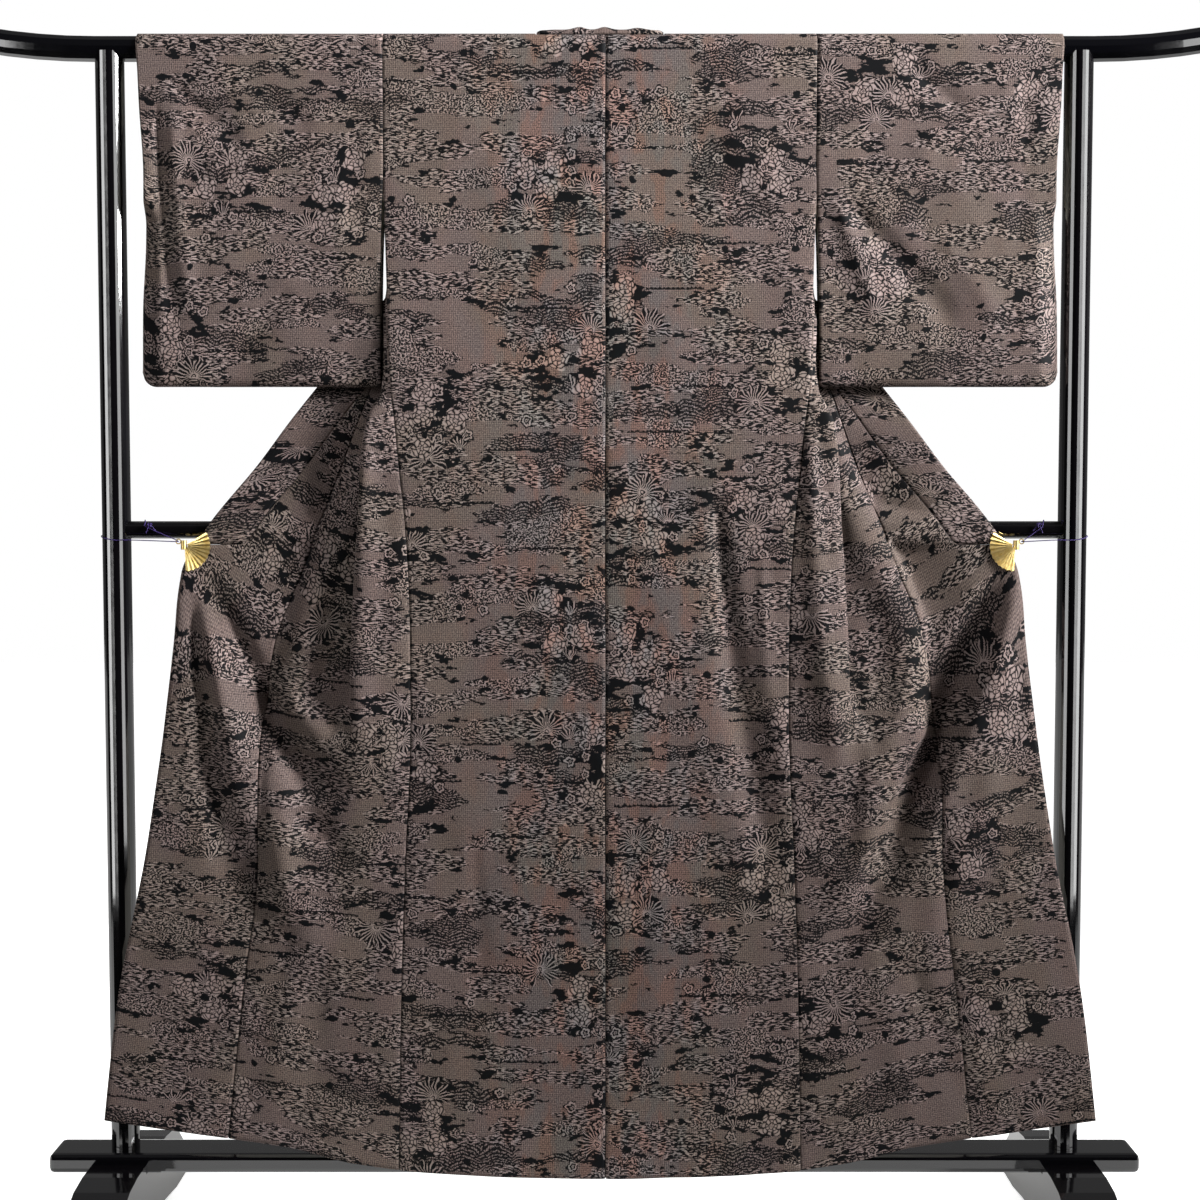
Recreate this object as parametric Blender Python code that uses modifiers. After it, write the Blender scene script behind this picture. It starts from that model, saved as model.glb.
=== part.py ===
"""Kimono hung by its sleeves on a lacquered display stand, seen from its back.

Metres, +Z up.  The stand's centre is on X = 0 and Y = 0, the floor is Z = 0,
and the garment's back faces -Y.  A length "out" is measured sideways from the
garment's own middle line, so the same number serves the left and the right.
"""

from collections import namedtuple
from math import atan2, cos, degrees, pi, radians, sin, sqrt

import bmesh
import bpy
import numpy as np
from mathutils import Vector

# Finishes: colour, roughness, metallic
LACQUER = ((0.008, 0.008, 0.010), 0.12, 0.0)
SILK = ((0.125, 0.100, 0.092), 0.62, 0.0)
GILT = ((0.83, 0.60, 0.24), 0.28, 1.0)
CORD = ((0.055, 0.030, 0.180), 0.60, 0.0)

GAP = 0.0003                # clearance between neighbours that touch
SEAM = 0.0005               # clearance between two panels along a seam
CLOTH = 0.0016              # outer cloth and lining together
COLLAR_CLOTH = 0.0026       # the collar is folded double

# Stand
RAIL_RADIUS = 0.018
RAIL_Z = 1.684
RAIL_HALF = 0.900
RAIL_STRAIGHT = 0.700       # the ends sweep up beyond this
RAIL_SWEEP = 0.525          # rise = sweep times the distance squared
POST_OUT = 0.680
POST_RADIUS = 0.020
POST_CHEEK = 0.006          # the coped post top stops this far under the rail's middle
CROSSBAR_RADIUS = 0.0125
CROSSBAR_Z = 1.010
CROSSBAR_SOCKET = 0.008
BOARD_HALF = (0.7825, 0.034)
BOARD_Z = (0.088, 0.116)
BOARD_BEVEL = 0.008
FOOT_WIDTH = 0.078
FOOT_OUT = 0.681
FOOT_HALF = 0.200
FOOT_TOP = 0.101
FOOT_FLAT = 0.080           # half length of the flat top
FOOT_ARCH = 0.012           # height of the arch between the two pads
FOOT_PAD = 0.060            # length of each pad
TOE_HEIGHT = 0.016

# Garment
MIDDLE = 0.008              # the garment hangs this far right of the stand's middle
CENTRE_SEAM = 0.008         # and its centre seam a little farther
WRAP_STEP = 32.0            # degrees between the cloth's points over the rail, at most
WRAP = (RAIL_RADIUS + GAP) / cos(radians(WRAP_STEP / 2)) + CLOTH / 2
COLLAR_WRAP = (RAIL_RADIUS + GAP) / cos(radians(WRAP_STEP / 2)) + COLLAR_CLOTH / 2
HEM_Z = 0.100
OPEN_Z = 1.322              # the side seam starts here, 38 cm under the shoulder
SLEEVE_SEAM_Z = 1.477       # the sleeve is sewn on down to here
TIP_Z = 1.225               # upper tip of the okumi
COLLAR_END_Z = 0.990
COLLAR_ACROSS = 0.070       # collar's width measured level, it lies at a slant
TIP_WIDTH = 0.003
ROLL_SLACK = 0.0006         # more room at the collar seam where it rolls over
NECK_OUT = 0.090
ARMHOLE_OUT = 0.3025        # where the sleeve is sewn to the shoulder
NECK_BACK = -35.0           # degrees round the rail where the back neckline is cut
TURN_RADIUS = 0.0045        # how round the sharp turns of the cloth are
NECK_TURN_RADIUS = 0.0100   # and how round the loose roll beside the neck is
TURN_RISE = 0.0055          # the cloth leaves its second turn this much farther back
TURN_REACH = 0.030          # and lies flat again this far from it
TURN_TO_SEAM = 0.012        # the body strip keeps this much past its second turn

# Across a front: side seam, first turn, second turn and free edge, each with
# its place (out, y) and the heading of the cloth there.  Heading 0 is outward,
# 90 is away from the viewer and 180 is back inward.  seam is the okumi seam.
Section = namedtuple("Section", "z back_y side side_y side_turn turn1 turn1_y turn1_turn"
                                " turn2 turn2_y turn2_turn edge edge_y seam")
SECTIONS = (
    Section(0.100, -0.0490, 0.2865, -0.0490, 0, 0.355, -0.0490, 0,
            0.440, -0.0480, 0, 0.7140, -0.0450, 0.5380),
    Section(0.350, -0.0490, 0.2810, -0.0490, 0, 0.354, -0.0490, 0,
            0.440, -0.0475, 2, 0.6840, -0.0420, 0.5085),
    Section(0.550, -0.0485, 0.2740, -0.0485, 0, 0.352, -0.0490, 3,
            0.420, -0.0460, 4, 0.6440, -0.0370, 0.4850),
    Section(0.700, -0.0483, 0.2665, -0.0483, 0, 0.349, -0.0480, 12,
            0.385, -0.0425, 15, 0.6210, -0.0320, 0.4820),
    Section(0.760, -0.0482, 0.2655, -0.0482, 2, 0.350, -0.0465, 60,
            0.356, -0.0390, 60, 0.6135, -0.0285, 0.4760),
    Section(0.850, -0.0480, 0.2655, -0.0480, 3, 0.348, -0.0440, 90,
            0.331, -0.0350, 90, 0.6025, -0.0240, 0.4610),
    Section(0.950, -0.0475, 0.2680, -0.0475, 4, 0.343, -0.0415, 90,
            0.306, -0.0310, 90, 0.5915, -0.0195, 0.4225),
    Section(1.020, -0.0465, 0.2725, -0.0465, 4, 0.338, -0.0405, 90,
            0.287, -0.0270, 90, 0.5505, -0.0185, 0.3970),
    Section(1.100, -0.0445, 0.2810, -0.0445, 4, 0.334, -0.0385, 90,
            0.264, -0.0205, 90, 0.4860, -0.0085, 0.3660),
    Section(1.165, -0.0415, 0.2870, -0.0415, 4, 0.325, -0.0365, 90,
            0.244, -0.0150, 90, 0.4380, -0.0030, 0.3420),
    Section(1.210, -0.0395, 0.2930, -0.0395, 8, 0.3055, -0.0320, 90,
            0.226, -0.0100, 90, 0.4030, 0.0030, 0.3250),
    Section(1.265, -0.0375, 0.2952, -0.0375, 20, 0.3050, -0.0310, 90,
            0.196, -0.0040, 90, 0.3600, 0.0080, 0.2900),
    Section(OPEN_Z, -0.0355, 0.2970, -0.0343, 35, 0.3040, -0.0290, 95,
            0.164, 0.0040, 90, 0.3180, 0.0140, 0.2480),
    Section(1.341, -0.0345, 0.2976, -0.0270, 70, 0.2995, -0.0205, 115,
            0.156, 0.0060, 90, 0.3040, 0.0180, 0.2340),
    Section(1.360, -0.0335, 0.2982, -0.0185, 100, 0.2955, -0.0115, 140,
            0.148, 0.0090, 90, 0.2900, 0.0215, 0.2200),
    Section(1.400, -0.0315, 0.2995, -0.0030, 150, 0.280, 0.0025, 172,
            0.130, 0.0140, 90, 0.2600, 0.0270, 0.1900),
    Section(1.500, -0.0266, ARMHOLE_OUT, 0.0116, 180, 0.264, 0.0125, 180,
            0.094, 0.0225, 90, 0.1880, 0.0360, 0.1180),
    Section(1.600, -0.0228, ARMHOLE_OUT, 0.0163, 180, 0.266, 0.0168, 180,
            0.070, 0.0280, 90, 0.1180, 0.0400, 0.1040),
    Section(1.650, -0.0208, ARMHOLE_OUT, 0.0185, 180, 0.267, 0.0190, 180,
            0.050, 0.0310, 90, 0.0760, 0.0430, 0.0950),
    Section(RAIL_Z, -WRAP, ARMHOLE_OUT, WRAP, 180, 0.268, WRAP, 180,
            0.040, 0.0330, 90, 0.0530, 0.0480, 0.0900),
)

# The hem climbs toward the fronts: rise at each line of the section.
HEM_RISE = {"centre": -0.013, "side": -0.001, "turn1": 0.010,
            "turn2": 0.032, "edge": 0.070}
HEM_RISE_TOP = 0.900

# Levels of the rows, bottom to top, the same on all the long panels.
LEVELS = (HEM_Z, 0.190, 0.280, 0.370, 0.460, 0.550, 0.620, 0.690, 0.750,
          0.810, 0.870, 0.930, COLLAR_END_Z - SEAM, 1.025, 1.060, 1.100, 1.130,
          1.165, 1.195, TIP_Z, 1.265, OPEN_Z, 1.341, 1.360, 1.400, SLEEVE_SEAM_Z,
          1.520, 1.555, 1.585, 1.615, 1.650)
WRAP_ANGLES = (-90.0, -62.5, NECK_BACK, -4.0, 27.0, 58.5, 90.0)

# Where the points of a body front lie in each of its three stretches.
FRONT_STEPS = ((0.0, 0.50, 0.88), (0.0, 0.12, 0.50, 0.88),
               (0.0, 0.14, 0.36, 0.66, 1.0))
NECK_COLUMNS = 3
PIECES = 24                 # points worked out along each stretch of a section
OKUMI_COLUMNS = 5
BELOW_COLLAR_COLUMNS = 3
COLLAR_COLUMNS = 6

# Main folds.  depth > 0 sinks away from the viewer.  path is (out, z) points.
Fold = namedtuple("Fold", "side depth width path")
FOLDS = (
    Fold(-1, 0.012, 0.024, ((0.545, 0.935), (0.437, 0.686), (0.370, 0.520))),
    Fold(-1, -0.011, 0.030, ((0.565, 0.920), (0.494, 0.629), (0.360, 0.330))),
    Fold(-1, 0.007, 0.022, ((0.580, 0.920), (0.555, 0.729), (0.505, 0.440))),
    Fold(1, 0.013, 0.026, ((0.575, 0.935), (0.424, 0.572), (0.299, 0.328))),
    Fold(1, -0.010, 0.028, ((0.470, 0.780), (0.405, 0.590), (0.320, 0.430))),
    Fold(1, -0.007, 0.030, ((0.585, 0.900), (0.545, 0.640), (0.450, 0.360))),
    Fold(1, 0.009, 0.022, ((0.158, 1.090), (0.189, 0.801), (0.256, 0.440))),
)
SLEEVE_FOLDS = (
    Fold(-1, 0.006, 0.022, ((0.425, 1.360), (0.545, 1.225))),
    Fold(-1, 0.004, 0.018, ((0.560, 1.660), (0.380, 1.560))),
    Fold(1, 0.007, 0.022, ((0.340, 1.475), (0.520, 1.270))),
    Fold(1, -0.005, 0.024, ((0.600, 1.640), (0.400, 1.500))),
)

# Sleeve: its two walls and its outer edge, by height.
SleeveRow = namedtuple("SleeveRow", "z back_y front_y inner outer")
SLEEVE_ROWS = (
    SleeveRow(1.212, -0.0240, -0.0080, 0.3075, 0.6430),
    SleeveRow(1.300, -0.0275, 0.0005, 0.3070, 0.6420),
    SleeveRow(1.400, -0.0280, 0.0060, 0.3055, 0.6370),
    SleeveRow(1.500, -0.0266, 0.0116, ARMHOLE_OUT, 0.6360),
    SleeveRow(1.600, -0.0228, 0.0163, ARMHOLE_OUT, 0.6420),
    SleeveRow(1.650, -0.0208, 0.0185, ARMHOLE_OUT, 0.6440),
    SleeveRow(RAIL_Z, -WRAP, WRAP, ARMHOLE_OUT, 0.6460),
)
SLEEVE_BOTTOM = 1.212
SLEEVE_CORNER = 0.020
CUFF_Z = 1.454              # the cuff is open above this and sewn shut below
CUFF_PINCH = 0.0012         # half distance between the sewn walls
PINCH_REACH = 0.030         # the walls come together over this width
SLEEVE_STEPS = (0.0, 0.09, 0.18, 0.28, 0.38, 0.48, 0.58, 0.68, 0.78, 0.87, 0.94,
                0.965, 0.985, 1.0)
SLEEVE_LEVELS = (1.225, 1.270, 1.330, 1.390, CUFF_Z, 1.520, 1.580, 1.635)

# Collar round the neck: small waves along its top fold.
NECK_WAVES = ((-0.032, 0.006), (0.007, 0.006), (0.058, 0.004))
NECK_WAVE_WIDTH = 0.011
ROLL_REACH = 0.046          # how far the roll reaches inward on the front
STAND_RISE = 0.013          # how steeply the collar stands up behind the neck
STAND_LEAN = 0.002
NECK_TOP_OUTS = (0.082, 0.070, 0.058, 0.045, 0.032, 0.019, 0.006)
NECK_SIDE_ANGLES = (90.0, 62.0, 34.0, 6.0, -18.0)

# The collar round the neck, by distance along the neckline: the place of its
# free fold (out, y, rise over the rail's middle), how far its roll has turned
# from the front (0) to behind the neck (1), and where the roll bends over,
# measured from the free fold.
NeckKey = namedtuple("NeckKey", "run out y rise turned bend_out bend_y bend_z")
NECK_KEYS = (
    NeckKey(0.000, 0.0600, 0.0540, -0.006, 0.25, -0.022, -0.006, 0.002),
    NeckKey(0.020, 0.0500, 0.0545, 0.008, 0.55, -0.012, -0.018, 0.006),
    NeckKey(0.040, 0.0420, 0.0500, 0.012, 0.85, -0.003, -0.016, 0.014),
    NeckKey(0.062, 0.0340, 0.0420, 0.008, 1.00, 0.000, -0.004, 0.022),
    NeckKey(0.128, 0.0000, 0.0265, 0.003, 1.00, 0.000, 0.002, 0.024),
)

# Fan clips and their cords
CLIP_OUT = 0.586
CLIP_Z = 0.988
FAN_RADIUS = 0.035
FAN_RIBS = 11
FAN_START = 32.0            # degrees above level, toward the garment
FAN_END = -88.0
FAN_INNER = 0.004
PLEAT = 0.0009
CLIP_METAL = 0.0009
CLIP_SLACK = 0.0011
BARREL_RADIUS = 0.0042
BARREL_LENGTH = 0.013
SCALLOP = 0.0015            # the ribs reach this much farther than the valleys
JAW_SHARE = 0.93            # the back jaw is a little smaller than the fan
RING_RADIUS = 0.0034
RING_WIRE = 0.0008
CORD_RADIUS = 0.0007
CORD_TURN = 0.0030          # how far the cord stands off the ring's two faces
CORD_LOW = CROSSBAR_Z - 0.014
CORD_SPACING = 0.0056


def remove_everything():
    """Empty the scene, keeping the file that this script runs from."""
    for item in list(bpy.data.objects):
        bpy.data.objects.remove(item, do_unlink=True)


def make_material(name, finish):
    """Return a sub-part's own Principled material."""
    colour, roughness, metallic = finish
    material = bpy.data.materials.new(name)
    material.use_nodes = True
    shader = material.node_tree.nodes["Principled BSDF"]
    shader.inputs["Base Color"].default_value = (*colour, 1.0)
    shader.inputs["Roughness"].default_value = roughness
    shader.inputs["Metallic"].default_value = metallic
    return material


def add_object(name, data, finish, collection):
    """Link an object that holds the given mesh or curve, with its own material."""
    item = bpy.data.objects.new(name, data)
    collection.objects.link(item)
    data.materials.append(make_material(name, finish))
    return item


def smooth_step(value):
    """Ease from 0 to 1."""
    value = min(max(value, 0.0), 1.0)
    return value * value * (3.0 - 2.0 * value)


def column_at(rows, column, z):
    """Read a column at one value of the table's first, with no overshoot."""
    heights = [row[0] for row in rows]
    values = [getattr(row, column) for row in rows]
    if z <= heights[0]:
        return values[0]
    if z >= heights[-1]:
        return values[-1]
    index = int(np.searchsorted(heights, z, side="right")) - 1

    def slope(i):
        return (values[i + 1] - values[i]) / (heights[i + 1] - heights[i])

    def tangent(i):
        if i == 0:
            return slope(0)
        if i == len(values) - 1:
            return slope(i - 1)
        before = slope(i - 1)
        after = slope(i)
        if before * after <= 0.0:
            return 0.0
        return 2.0 * before * after / (before + after)

    span = heights[index + 1] - heights[index]
    t = (z - heights[index]) / span
    start = values[index] + t * t * (3.0 - 2.0 * t) * (values[index + 1] - values[index])
    return start + span * t * (1.0 - t) * ((1.0 - t) * tangent(index) - t * tangent(index + 1))


def push(folds, side, out, z):
    """Return how far the main folds move the cloth along Y at one place."""
    total = 0.0
    for fold in folds:
        if fold.side != side:
            continue
        path = np.array(fold.path)
        steps = np.linalg.norm(np.diff(path, axis=0), axis=1)
        length = steps.sum()
        best = None
        walked = 0.0
        for start, end, step in zip(path[:-1], path[1:], steps):
            along = np.dot((out - start[0], z - start[1]), end - start) / (step * step)
            along = min(max(along, 0.0), 1.0)
            near = start + along * (end - start)
            distance = np.hypot(out - near[0], z - near[1])
            if best is None or distance < best[0]:
                best = (distance, (walked + along * step) / length)
            walked += step
        distance, along = best
        width = fold.width * (0.45 + 0.55 * smooth_step(along / 0.6))
        fade = smooth_step(along / 0.18) * smooth_step((1.0 - along) / 0.3)
        total += fold.depth * fade * np.exp(-(distance / width) ** 2)
    return total


def hem_rise(line, level):
    """Return how far a row is lifted at one line of the section."""
    fade = min(max((HEM_RISE_TOP - level) / (HEM_RISE_TOP - HEM_Z), 0.0), 1.0)
    return HEM_RISE[line] * fade ** 1.5


def to_world(side, out, y, z):
    """Return the world place of a point measured from the garment's middle."""
    return Vector((MIDDLE + side * out, y, z))


def bend(start, start_turn, end, end_turn, radius, count):
    """Return points on a cubic between two places with given headings."""
    chord = np.array(end) - np.array(start)
    length = np.hypot(chord[0], chord[1])
    heading = np.arctan2(chord[1], chord[0])
    handles = []
    for turn in (start_turn, end_turn):
        apart = sin(radians(turn) - heading) ** 2
        reach = 0.33 * length * (1.0 - apart) + sqrt(0.4 * radius * length) * apart
        handles.append(reach * np.array((cos(radians(turn)), sin(radians(turn)))))
    t = np.linspace(0.0, 1.0, count)[:, None]
    first = np.array(start[:2])
    last = np.array(end[:2])
    second = first + handles[0]
    third = last - handles[1]
    flat = ((1 - t) ** 3 * first + 3 * (1 - t) ** 2 * t * second
            + 3 * (1 - t) * t ** 2 * third + t ** 3 * last)
    height = start[2] + t * (end[2] - start[2])
    return np.hstack((flat, height))


class FrontRow:
    """One level of a front, from the side seam to the free edge."""

    def __init__(self, side, level):
        self.side = side
        self.level = level
        places = []
        turns = []
        for line in ("side", "turn1", "turn2", "edge"):
            z = level + hem_rise(line, level)
            y = column_at(SECTIONS, line + "_y", z)
            if line == "side" and z < OPEN_Z - SEAM:
                y = column_at(SECTIONS, "back_y", z)
            places.append((column_at(SECTIONS, line, z), y, z))
            turns.append(column_at(SECTIONS, line + "_turn", z) if line != "edge" else 0.0)
        # After the second turn the cloth lies flat again before it runs to the edge.
        start, end = places[2:]
        reach = min(TURN_REACH, 0.6 * (end[0] - start[0]))
        share = reach / (end[0] - start[0])
        rise = TURN_RISE * sin(radians(turns[2])) ** 2 * (1.0 - share)
        places.insert(3, (start[0] + reach, start[1] + (end[1] - start[1]) * share + rise,
                          start[2] + (end[2] - start[2]) * share))
        turns.insert(3, degrees(atan2(end[1] - places[3][1], end[0] - places[3][0])))
        turns[4] = turns[3]
        loose = smooth_step((level - OPEN_Z) / (SLEEVE_SEAM_Z - OPEN_Z))
        radius = TURN_RADIUS + (NECK_TURN_RADIUS - TURN_RADIUS) * loose
        stretches = [bend(places[0], turns[0], places[1], turns[1], TURN_RADIUS,
                          PIECES + 1)]
        for index in (1, 2, 3):
            stretches.append(bend(places[index], turns[index], places[index + 1],
                                  turns[index + 1], radius, PIECES + 1)[1:])
        self.points = np.vstack(stretches)
        steps = np.hypot(np.diff(self.points[:, 0]), np.diff(self.points[:, 1]))
        self.run = np.concatenate(((0.0,), np.cumsum(steps)))
        self.turn1 = self.run[PIECES]
        self.turn2 = self.run[2 * PIECES]
        self.end = self.run[-1]
        self.collar = self.end - COLLAR_ACROSS
        self.slack = SEAM / 2 + ROLL_SLACK * smooth_step((level - OPEN_Z) / 0.1)
        self.seam = self.collar
        if level <= TIP_Z:
            out = column_at(SECTIONS, "seam", level + hem_rise("edge", level))
            outer = slice(2 * PIECES, None)
            self.seam = float(np.interp(out, self.points[outer, 0], self.run[outer]))
            self.seam = min(self.seam, self.collar - TIP_WIDTH)

    def at(self, run):
        """Return the world point this far along the row."""
        out, y, z = (float(np.interp(run, self.run, self.points[:, axis])) for axis in range(3))
        return to_world(self.side, out, y + push(FOLDS, self.side, out, z), z)


def front_columns(row):
    """Return the body strip's points across one front, side seam to inner edge."""
    last = row.seam - row.slack
    second = min(row.turn2, last - TURN_TO_SEAM)
    marks = (SEAM / 2, row.turn1, second, last)
    runs = []
    for index, steps in enumerate(FRONT_STEPS):
        span = marks[index + 1] - marks[index]
        runs.extend(marks[index] + step * span for step in steps)
    return [row.at(run) for run in runs]


def back_columns(side, level, count):
    """Return the body strip's points across one back, side seam to centre seam."""
    side_z = level + hem_rise("side", level)
    centre_z = level + hem_rise("centre", level)
    side_out = column_at(SECTIONS, "side", side_z) - SEAM / 2
    centre_out = side * CENTRE_SEAM + SEAM / 2
    neck_out = centre_out + (NECK_OUT - centre_out) * side_out / ARMHOLE_OUT
    outs = list(np.linspace(side_out, neck_out, count))
    outs += list(np.linspace(neck_out, centre_out, NECK_COLUMNS + 1)[1:])
    points = []
    for out in outs:
        share = (out - centre_out) / (side_out - centre_out)
        z = centre_z + (side_z - centre_z) * share ** 2
        y = column_at(SECTIONS, "back_y", z) + push(FOLDS, side, out, z)
        points.append(to_world(side, out, y, z))
    return points


def wrap_columns(side, angle, count):
    """Return the body strip's points over the rail at one angle from its top."""
    y = WRAP * sin(radians(angle))
    z = RAIL_Z + WRAP * cos(radians(angle))
    side_out = ARMHOLE_OUT - SEAM / 2
    outs = list(np.linspace(side_out, NECK_OUT + SEAM / 2, count))
    if angle <= NECK_BACK:
        centre_out = side * CENTRE_SEAM + SEAM / 2
        outs += list(np.linspace(NECK_OUT, centre_out, NECK_COLUMNS + 1)[1:])
    else:
        outs += [None] * NECK_COLUMNS
    return [None if out is None else to_world(side, out, y, z) for out in outs]


def sheet(name, grid, thickness, finish, collection, closed=False):
    """Make a wall of even thickness on a grid of points.  None leaves a hole."""
    mesh = bpy.data.meshes.new(name)
    bm = bmesh.new()
    verts = [[None if point is None else bm.verts.new(point) for point in row] for row in grid]
    columns = len(grid[0]) if closed else len(grid[0]) - 1
    for below, above in zip(verts[:-1], verts[1:]):
        for index in range(columns):
            after = (index + 1) % len(below)
            corners = (below[index], below[after], above[after], above[index])
            if all(corner is not None for corner in corners):
                bm.faces.new(corners)
    loose = [vert for vert in bm.verts if not vert.link_faces]
    bmesh.ops.delete(bm, geom=loose, context="VERTS")
    bmesh.ops.recalc_face_normals(bm, faces=bm.faces)
    bm.to_mesh(mesh)
    bm.free()
    mesh.shade_smooth()
    item = add_object(name, mesh, finish, collection)
    shell = item.modifiers.new("Wall", "SOLIDIFY")
    shell.thickness = thickness
    shell.offset = 0.0
    return item


def make_body(name, side, collection):
    """The long strip: back hem, over the shoulder, front hem, with no shoulder seam."""
    rows = [FrontRow(side, level) for level in LEVELS]
    fronts = [front_columns(row) for row in rows]
    count = len(fronts[0])
    grid = [back_columns(side, level, count) for level in LEVELS]
    grid += [wrap_columns(side, angle, count) for angle in WRAP_ANGLES]
    grid += [front + [None] * NECK_COLUMNS for front in reversed(fronts)]
    sheet(name, grid, CLOTH, SILK, collection)


def make_okumi(name, side, collection):
    """The overlap panel between a front and the collar, down to the hem."""
    grid = []
    for level in LEVELS:
        if level > TIP_Z:
            break
        row = FrontRow(side, level)
        runs = list(np.linspace(row.seam + SEAM / 2, row.collar - SEAM / 2, OKUMI_COLUMNS + 1))
        points = [row.at(run) for run in runs]
        if level < COLLAR_END_Z:
            outer = np.linspace(row.collar - SEAM / 2, row.end, BELOW_COLLAR_COLUMNS + 1)[1:]
            points += [row.at(run) for run in outer]
        else:
            points += [None] * BELOW_COLLAR_COLUMNS
        grid.append(points)
    sheet(name, grid, CLOTH, SILK, collection)


def neck_section(side, seam, run):
    """Return the collar's points from its seam to its free fold, near the neck."""
    key = NeckKey(run, *(column_at(NECK_KEYS, name, run) for name in NeckKey._fields[1:]))
    wave = sum(height * np.exp(-((seam.x - MIDDLE - place) / NECK_WAVE_WIDTH) ** 2)
               for place, height in NECK_WAVES)
    free = to_world(side, key.out, key.y, RAIL_Z + key.rise)
    first = seam + Vector((-side * ROLL_REACH * (1.0 - key.turned), -STAND_LEAN * key.turned,
                           (STAND_RISE + wave) * key.turned))
    second = free + Vector((side * key.bend_out, key.bend_y, key.bend_z + wave * key.turned))
    points = []
    for index in range(COLLAR_COLUMNS + 1):
        t = index / COLLAR_COLUMNS
        points.append((1 - t) ** 3 * seam + 3 * (1 - t) ** 2 * t * first
                      + 3 * (1 - t) * t ** 2 * second + t ** 3 * free)
    return points


def collar_neck_rows(side):
    """Return the rows from the rail's far side to the middle of the back neckline."""
    rows = []
    corner = NECK_OUT - SEAM
    last = NECK_SIDE_ANGLES[-1]
    for angle in NECK_SIDE_ANGLES:
        share = (90.0 - angle) / (90.0 - last)
        out = corner - COLLAR_CLOTH / 2 * smooth_step(share)
        seam = to_world(side, out, COLLAR_WRAP * sin(radians(angle)),
                        RAIL_Z + COLLAR_WRAP * cos(radians(angle)))
        rows.append(neck_section(side, seam, COLLAR_WRAP * radians(90.0 - angle)))
    walked = COLLAR_WRAP * radians(90.0 - last)
    angle = radians(NECK_BACK + 4.0)
    for out in NECK_TOP_OUTS:
        seam = to_world(side, out, COLLAR_WRAP * sin(angle), RAIL_Z + COLLAR_WRAP * cos(angle))
        rows.append(neck_section(side, seam, walked + corner - out))
    return rows


def make_collar(name, collection):
    """One band from the left clip, round the neck, to the right clip."""
    levels = [COLLAR_END_Z] + [level for level in LEVELS if level > COLLAR_END_Z]
    arms = {}
    for side in (-1, 1):
        arm = []
        for level in levels:
            row = FrontRow(side, level)
            runs = np.linspace(row.collar + row.slack, row.end, COLLAR_COLUMNS + 1)
            arm.append([row.at(run) for run in runs])
        arms[side] = arm + collar_neck_rows(side)
    grid = arms[1] + list(reversed(arms[-1]))
    sheet(name, grid, COLLAR_CLOTH, SILK, collection)


def sleeve_ring(side, step):
    """Return one ring of the sleeve, from the front wall over the rail to the back."""
    reach = column_at(SLEEVE_ROWS, "outer", RAIL_Z) - column_at(SLEEVE_ROWS, "inner", RAIL_Z)
    inward = (1.0 - step) * reach
    corner = 0.0
    if inward < SLEEVE_CORNER:
        corner = SLEEVE_CORNER - sqrt(SLEEVE_CORNER ** 2 - (SLEEVE_CORNER - inward) ** 2)
    stretch = (RAIL_Z - SLEEVE_BOTTOM - corner) / (RAIL_Z - SLEEVE_BOTTOM)
    ring = []

    def add(z, wall):
        lifted = RAIL_Z - (RAIL_Z - z) * stretch
        back = column_at(SLEEVE_ROWS, "back_y", z)
        front = column_at(SLEEVE_ROWS, "front_y", z)
        middle = (back + front) / 2
        half = (front - back) / 2
        pinch = smooth_step(1.0 - inward / PINCH_REACH)
        pinch *= smooth_step((CUFF_Z + 0.012 - z) / 0.035)
        half += (CUFF_PINCH - half) * pinch
        inner = column_at(SLEEVE_ROWS, "inner", z) + SEAM / 2
        out = inner + (column_at(SLEEVE_ROWS, "outer", z) - inner) * step
        y = middle + wall * half
        y += push(SLEEVE_FOLDS, side, out, z) * (0.5 - 0.5 * wall) * (1.0 - pinch)
        ring.append(to_world(side, out, y, lifted))

    for z in SLEEVE_LEVELS:
        add(z, 1.0)
    for angle in (90.0, 60.0, 30.0, 0.0, -30.0, -60.0, -90.0):
        out = (column_at(SLEEVE_ROWS, "inner", RAIL_Z) + SEAM / 2) * (1.0 - step)
        out += column_at(SLEEVE_ROWS, "outer", RAIL_Z) * step
        ring.append(to_world(side, out, WRAP * sin(radians(angle)),
                             RAIL_Z + WRAP * cos(radians(angle))))
    for z in reversed(SLEEVE_LEVELS):
        add(z, -1.0)
    for turn in (40.0, 90.0, 140.0):
        add(SLEEVE_LEVELS[0] - (SLEEVE_LEVELS[0] - SLEEVE_BOTTOM) * sin(radians(turn)),
            -cos(radians(turn)))
    return ring


def make_sleeve(name, side, collection):
    """A flat tube along the rail, open at the armhole and at the upper cuff."""
    grid = [sleeve_ring(side, step) for step in SLEEVE_STEPS]
    sheet(name, grid, CLOTH, SILK, collection, closed=True)


def rail_height(out):
    """Return the height of the rail's middle at one distance from the centre."""
    return RAIL_Z + RAIL_SWEEP * max(abs(out) - RAIL_STRAIGHT, 0.0) ** 2


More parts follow.
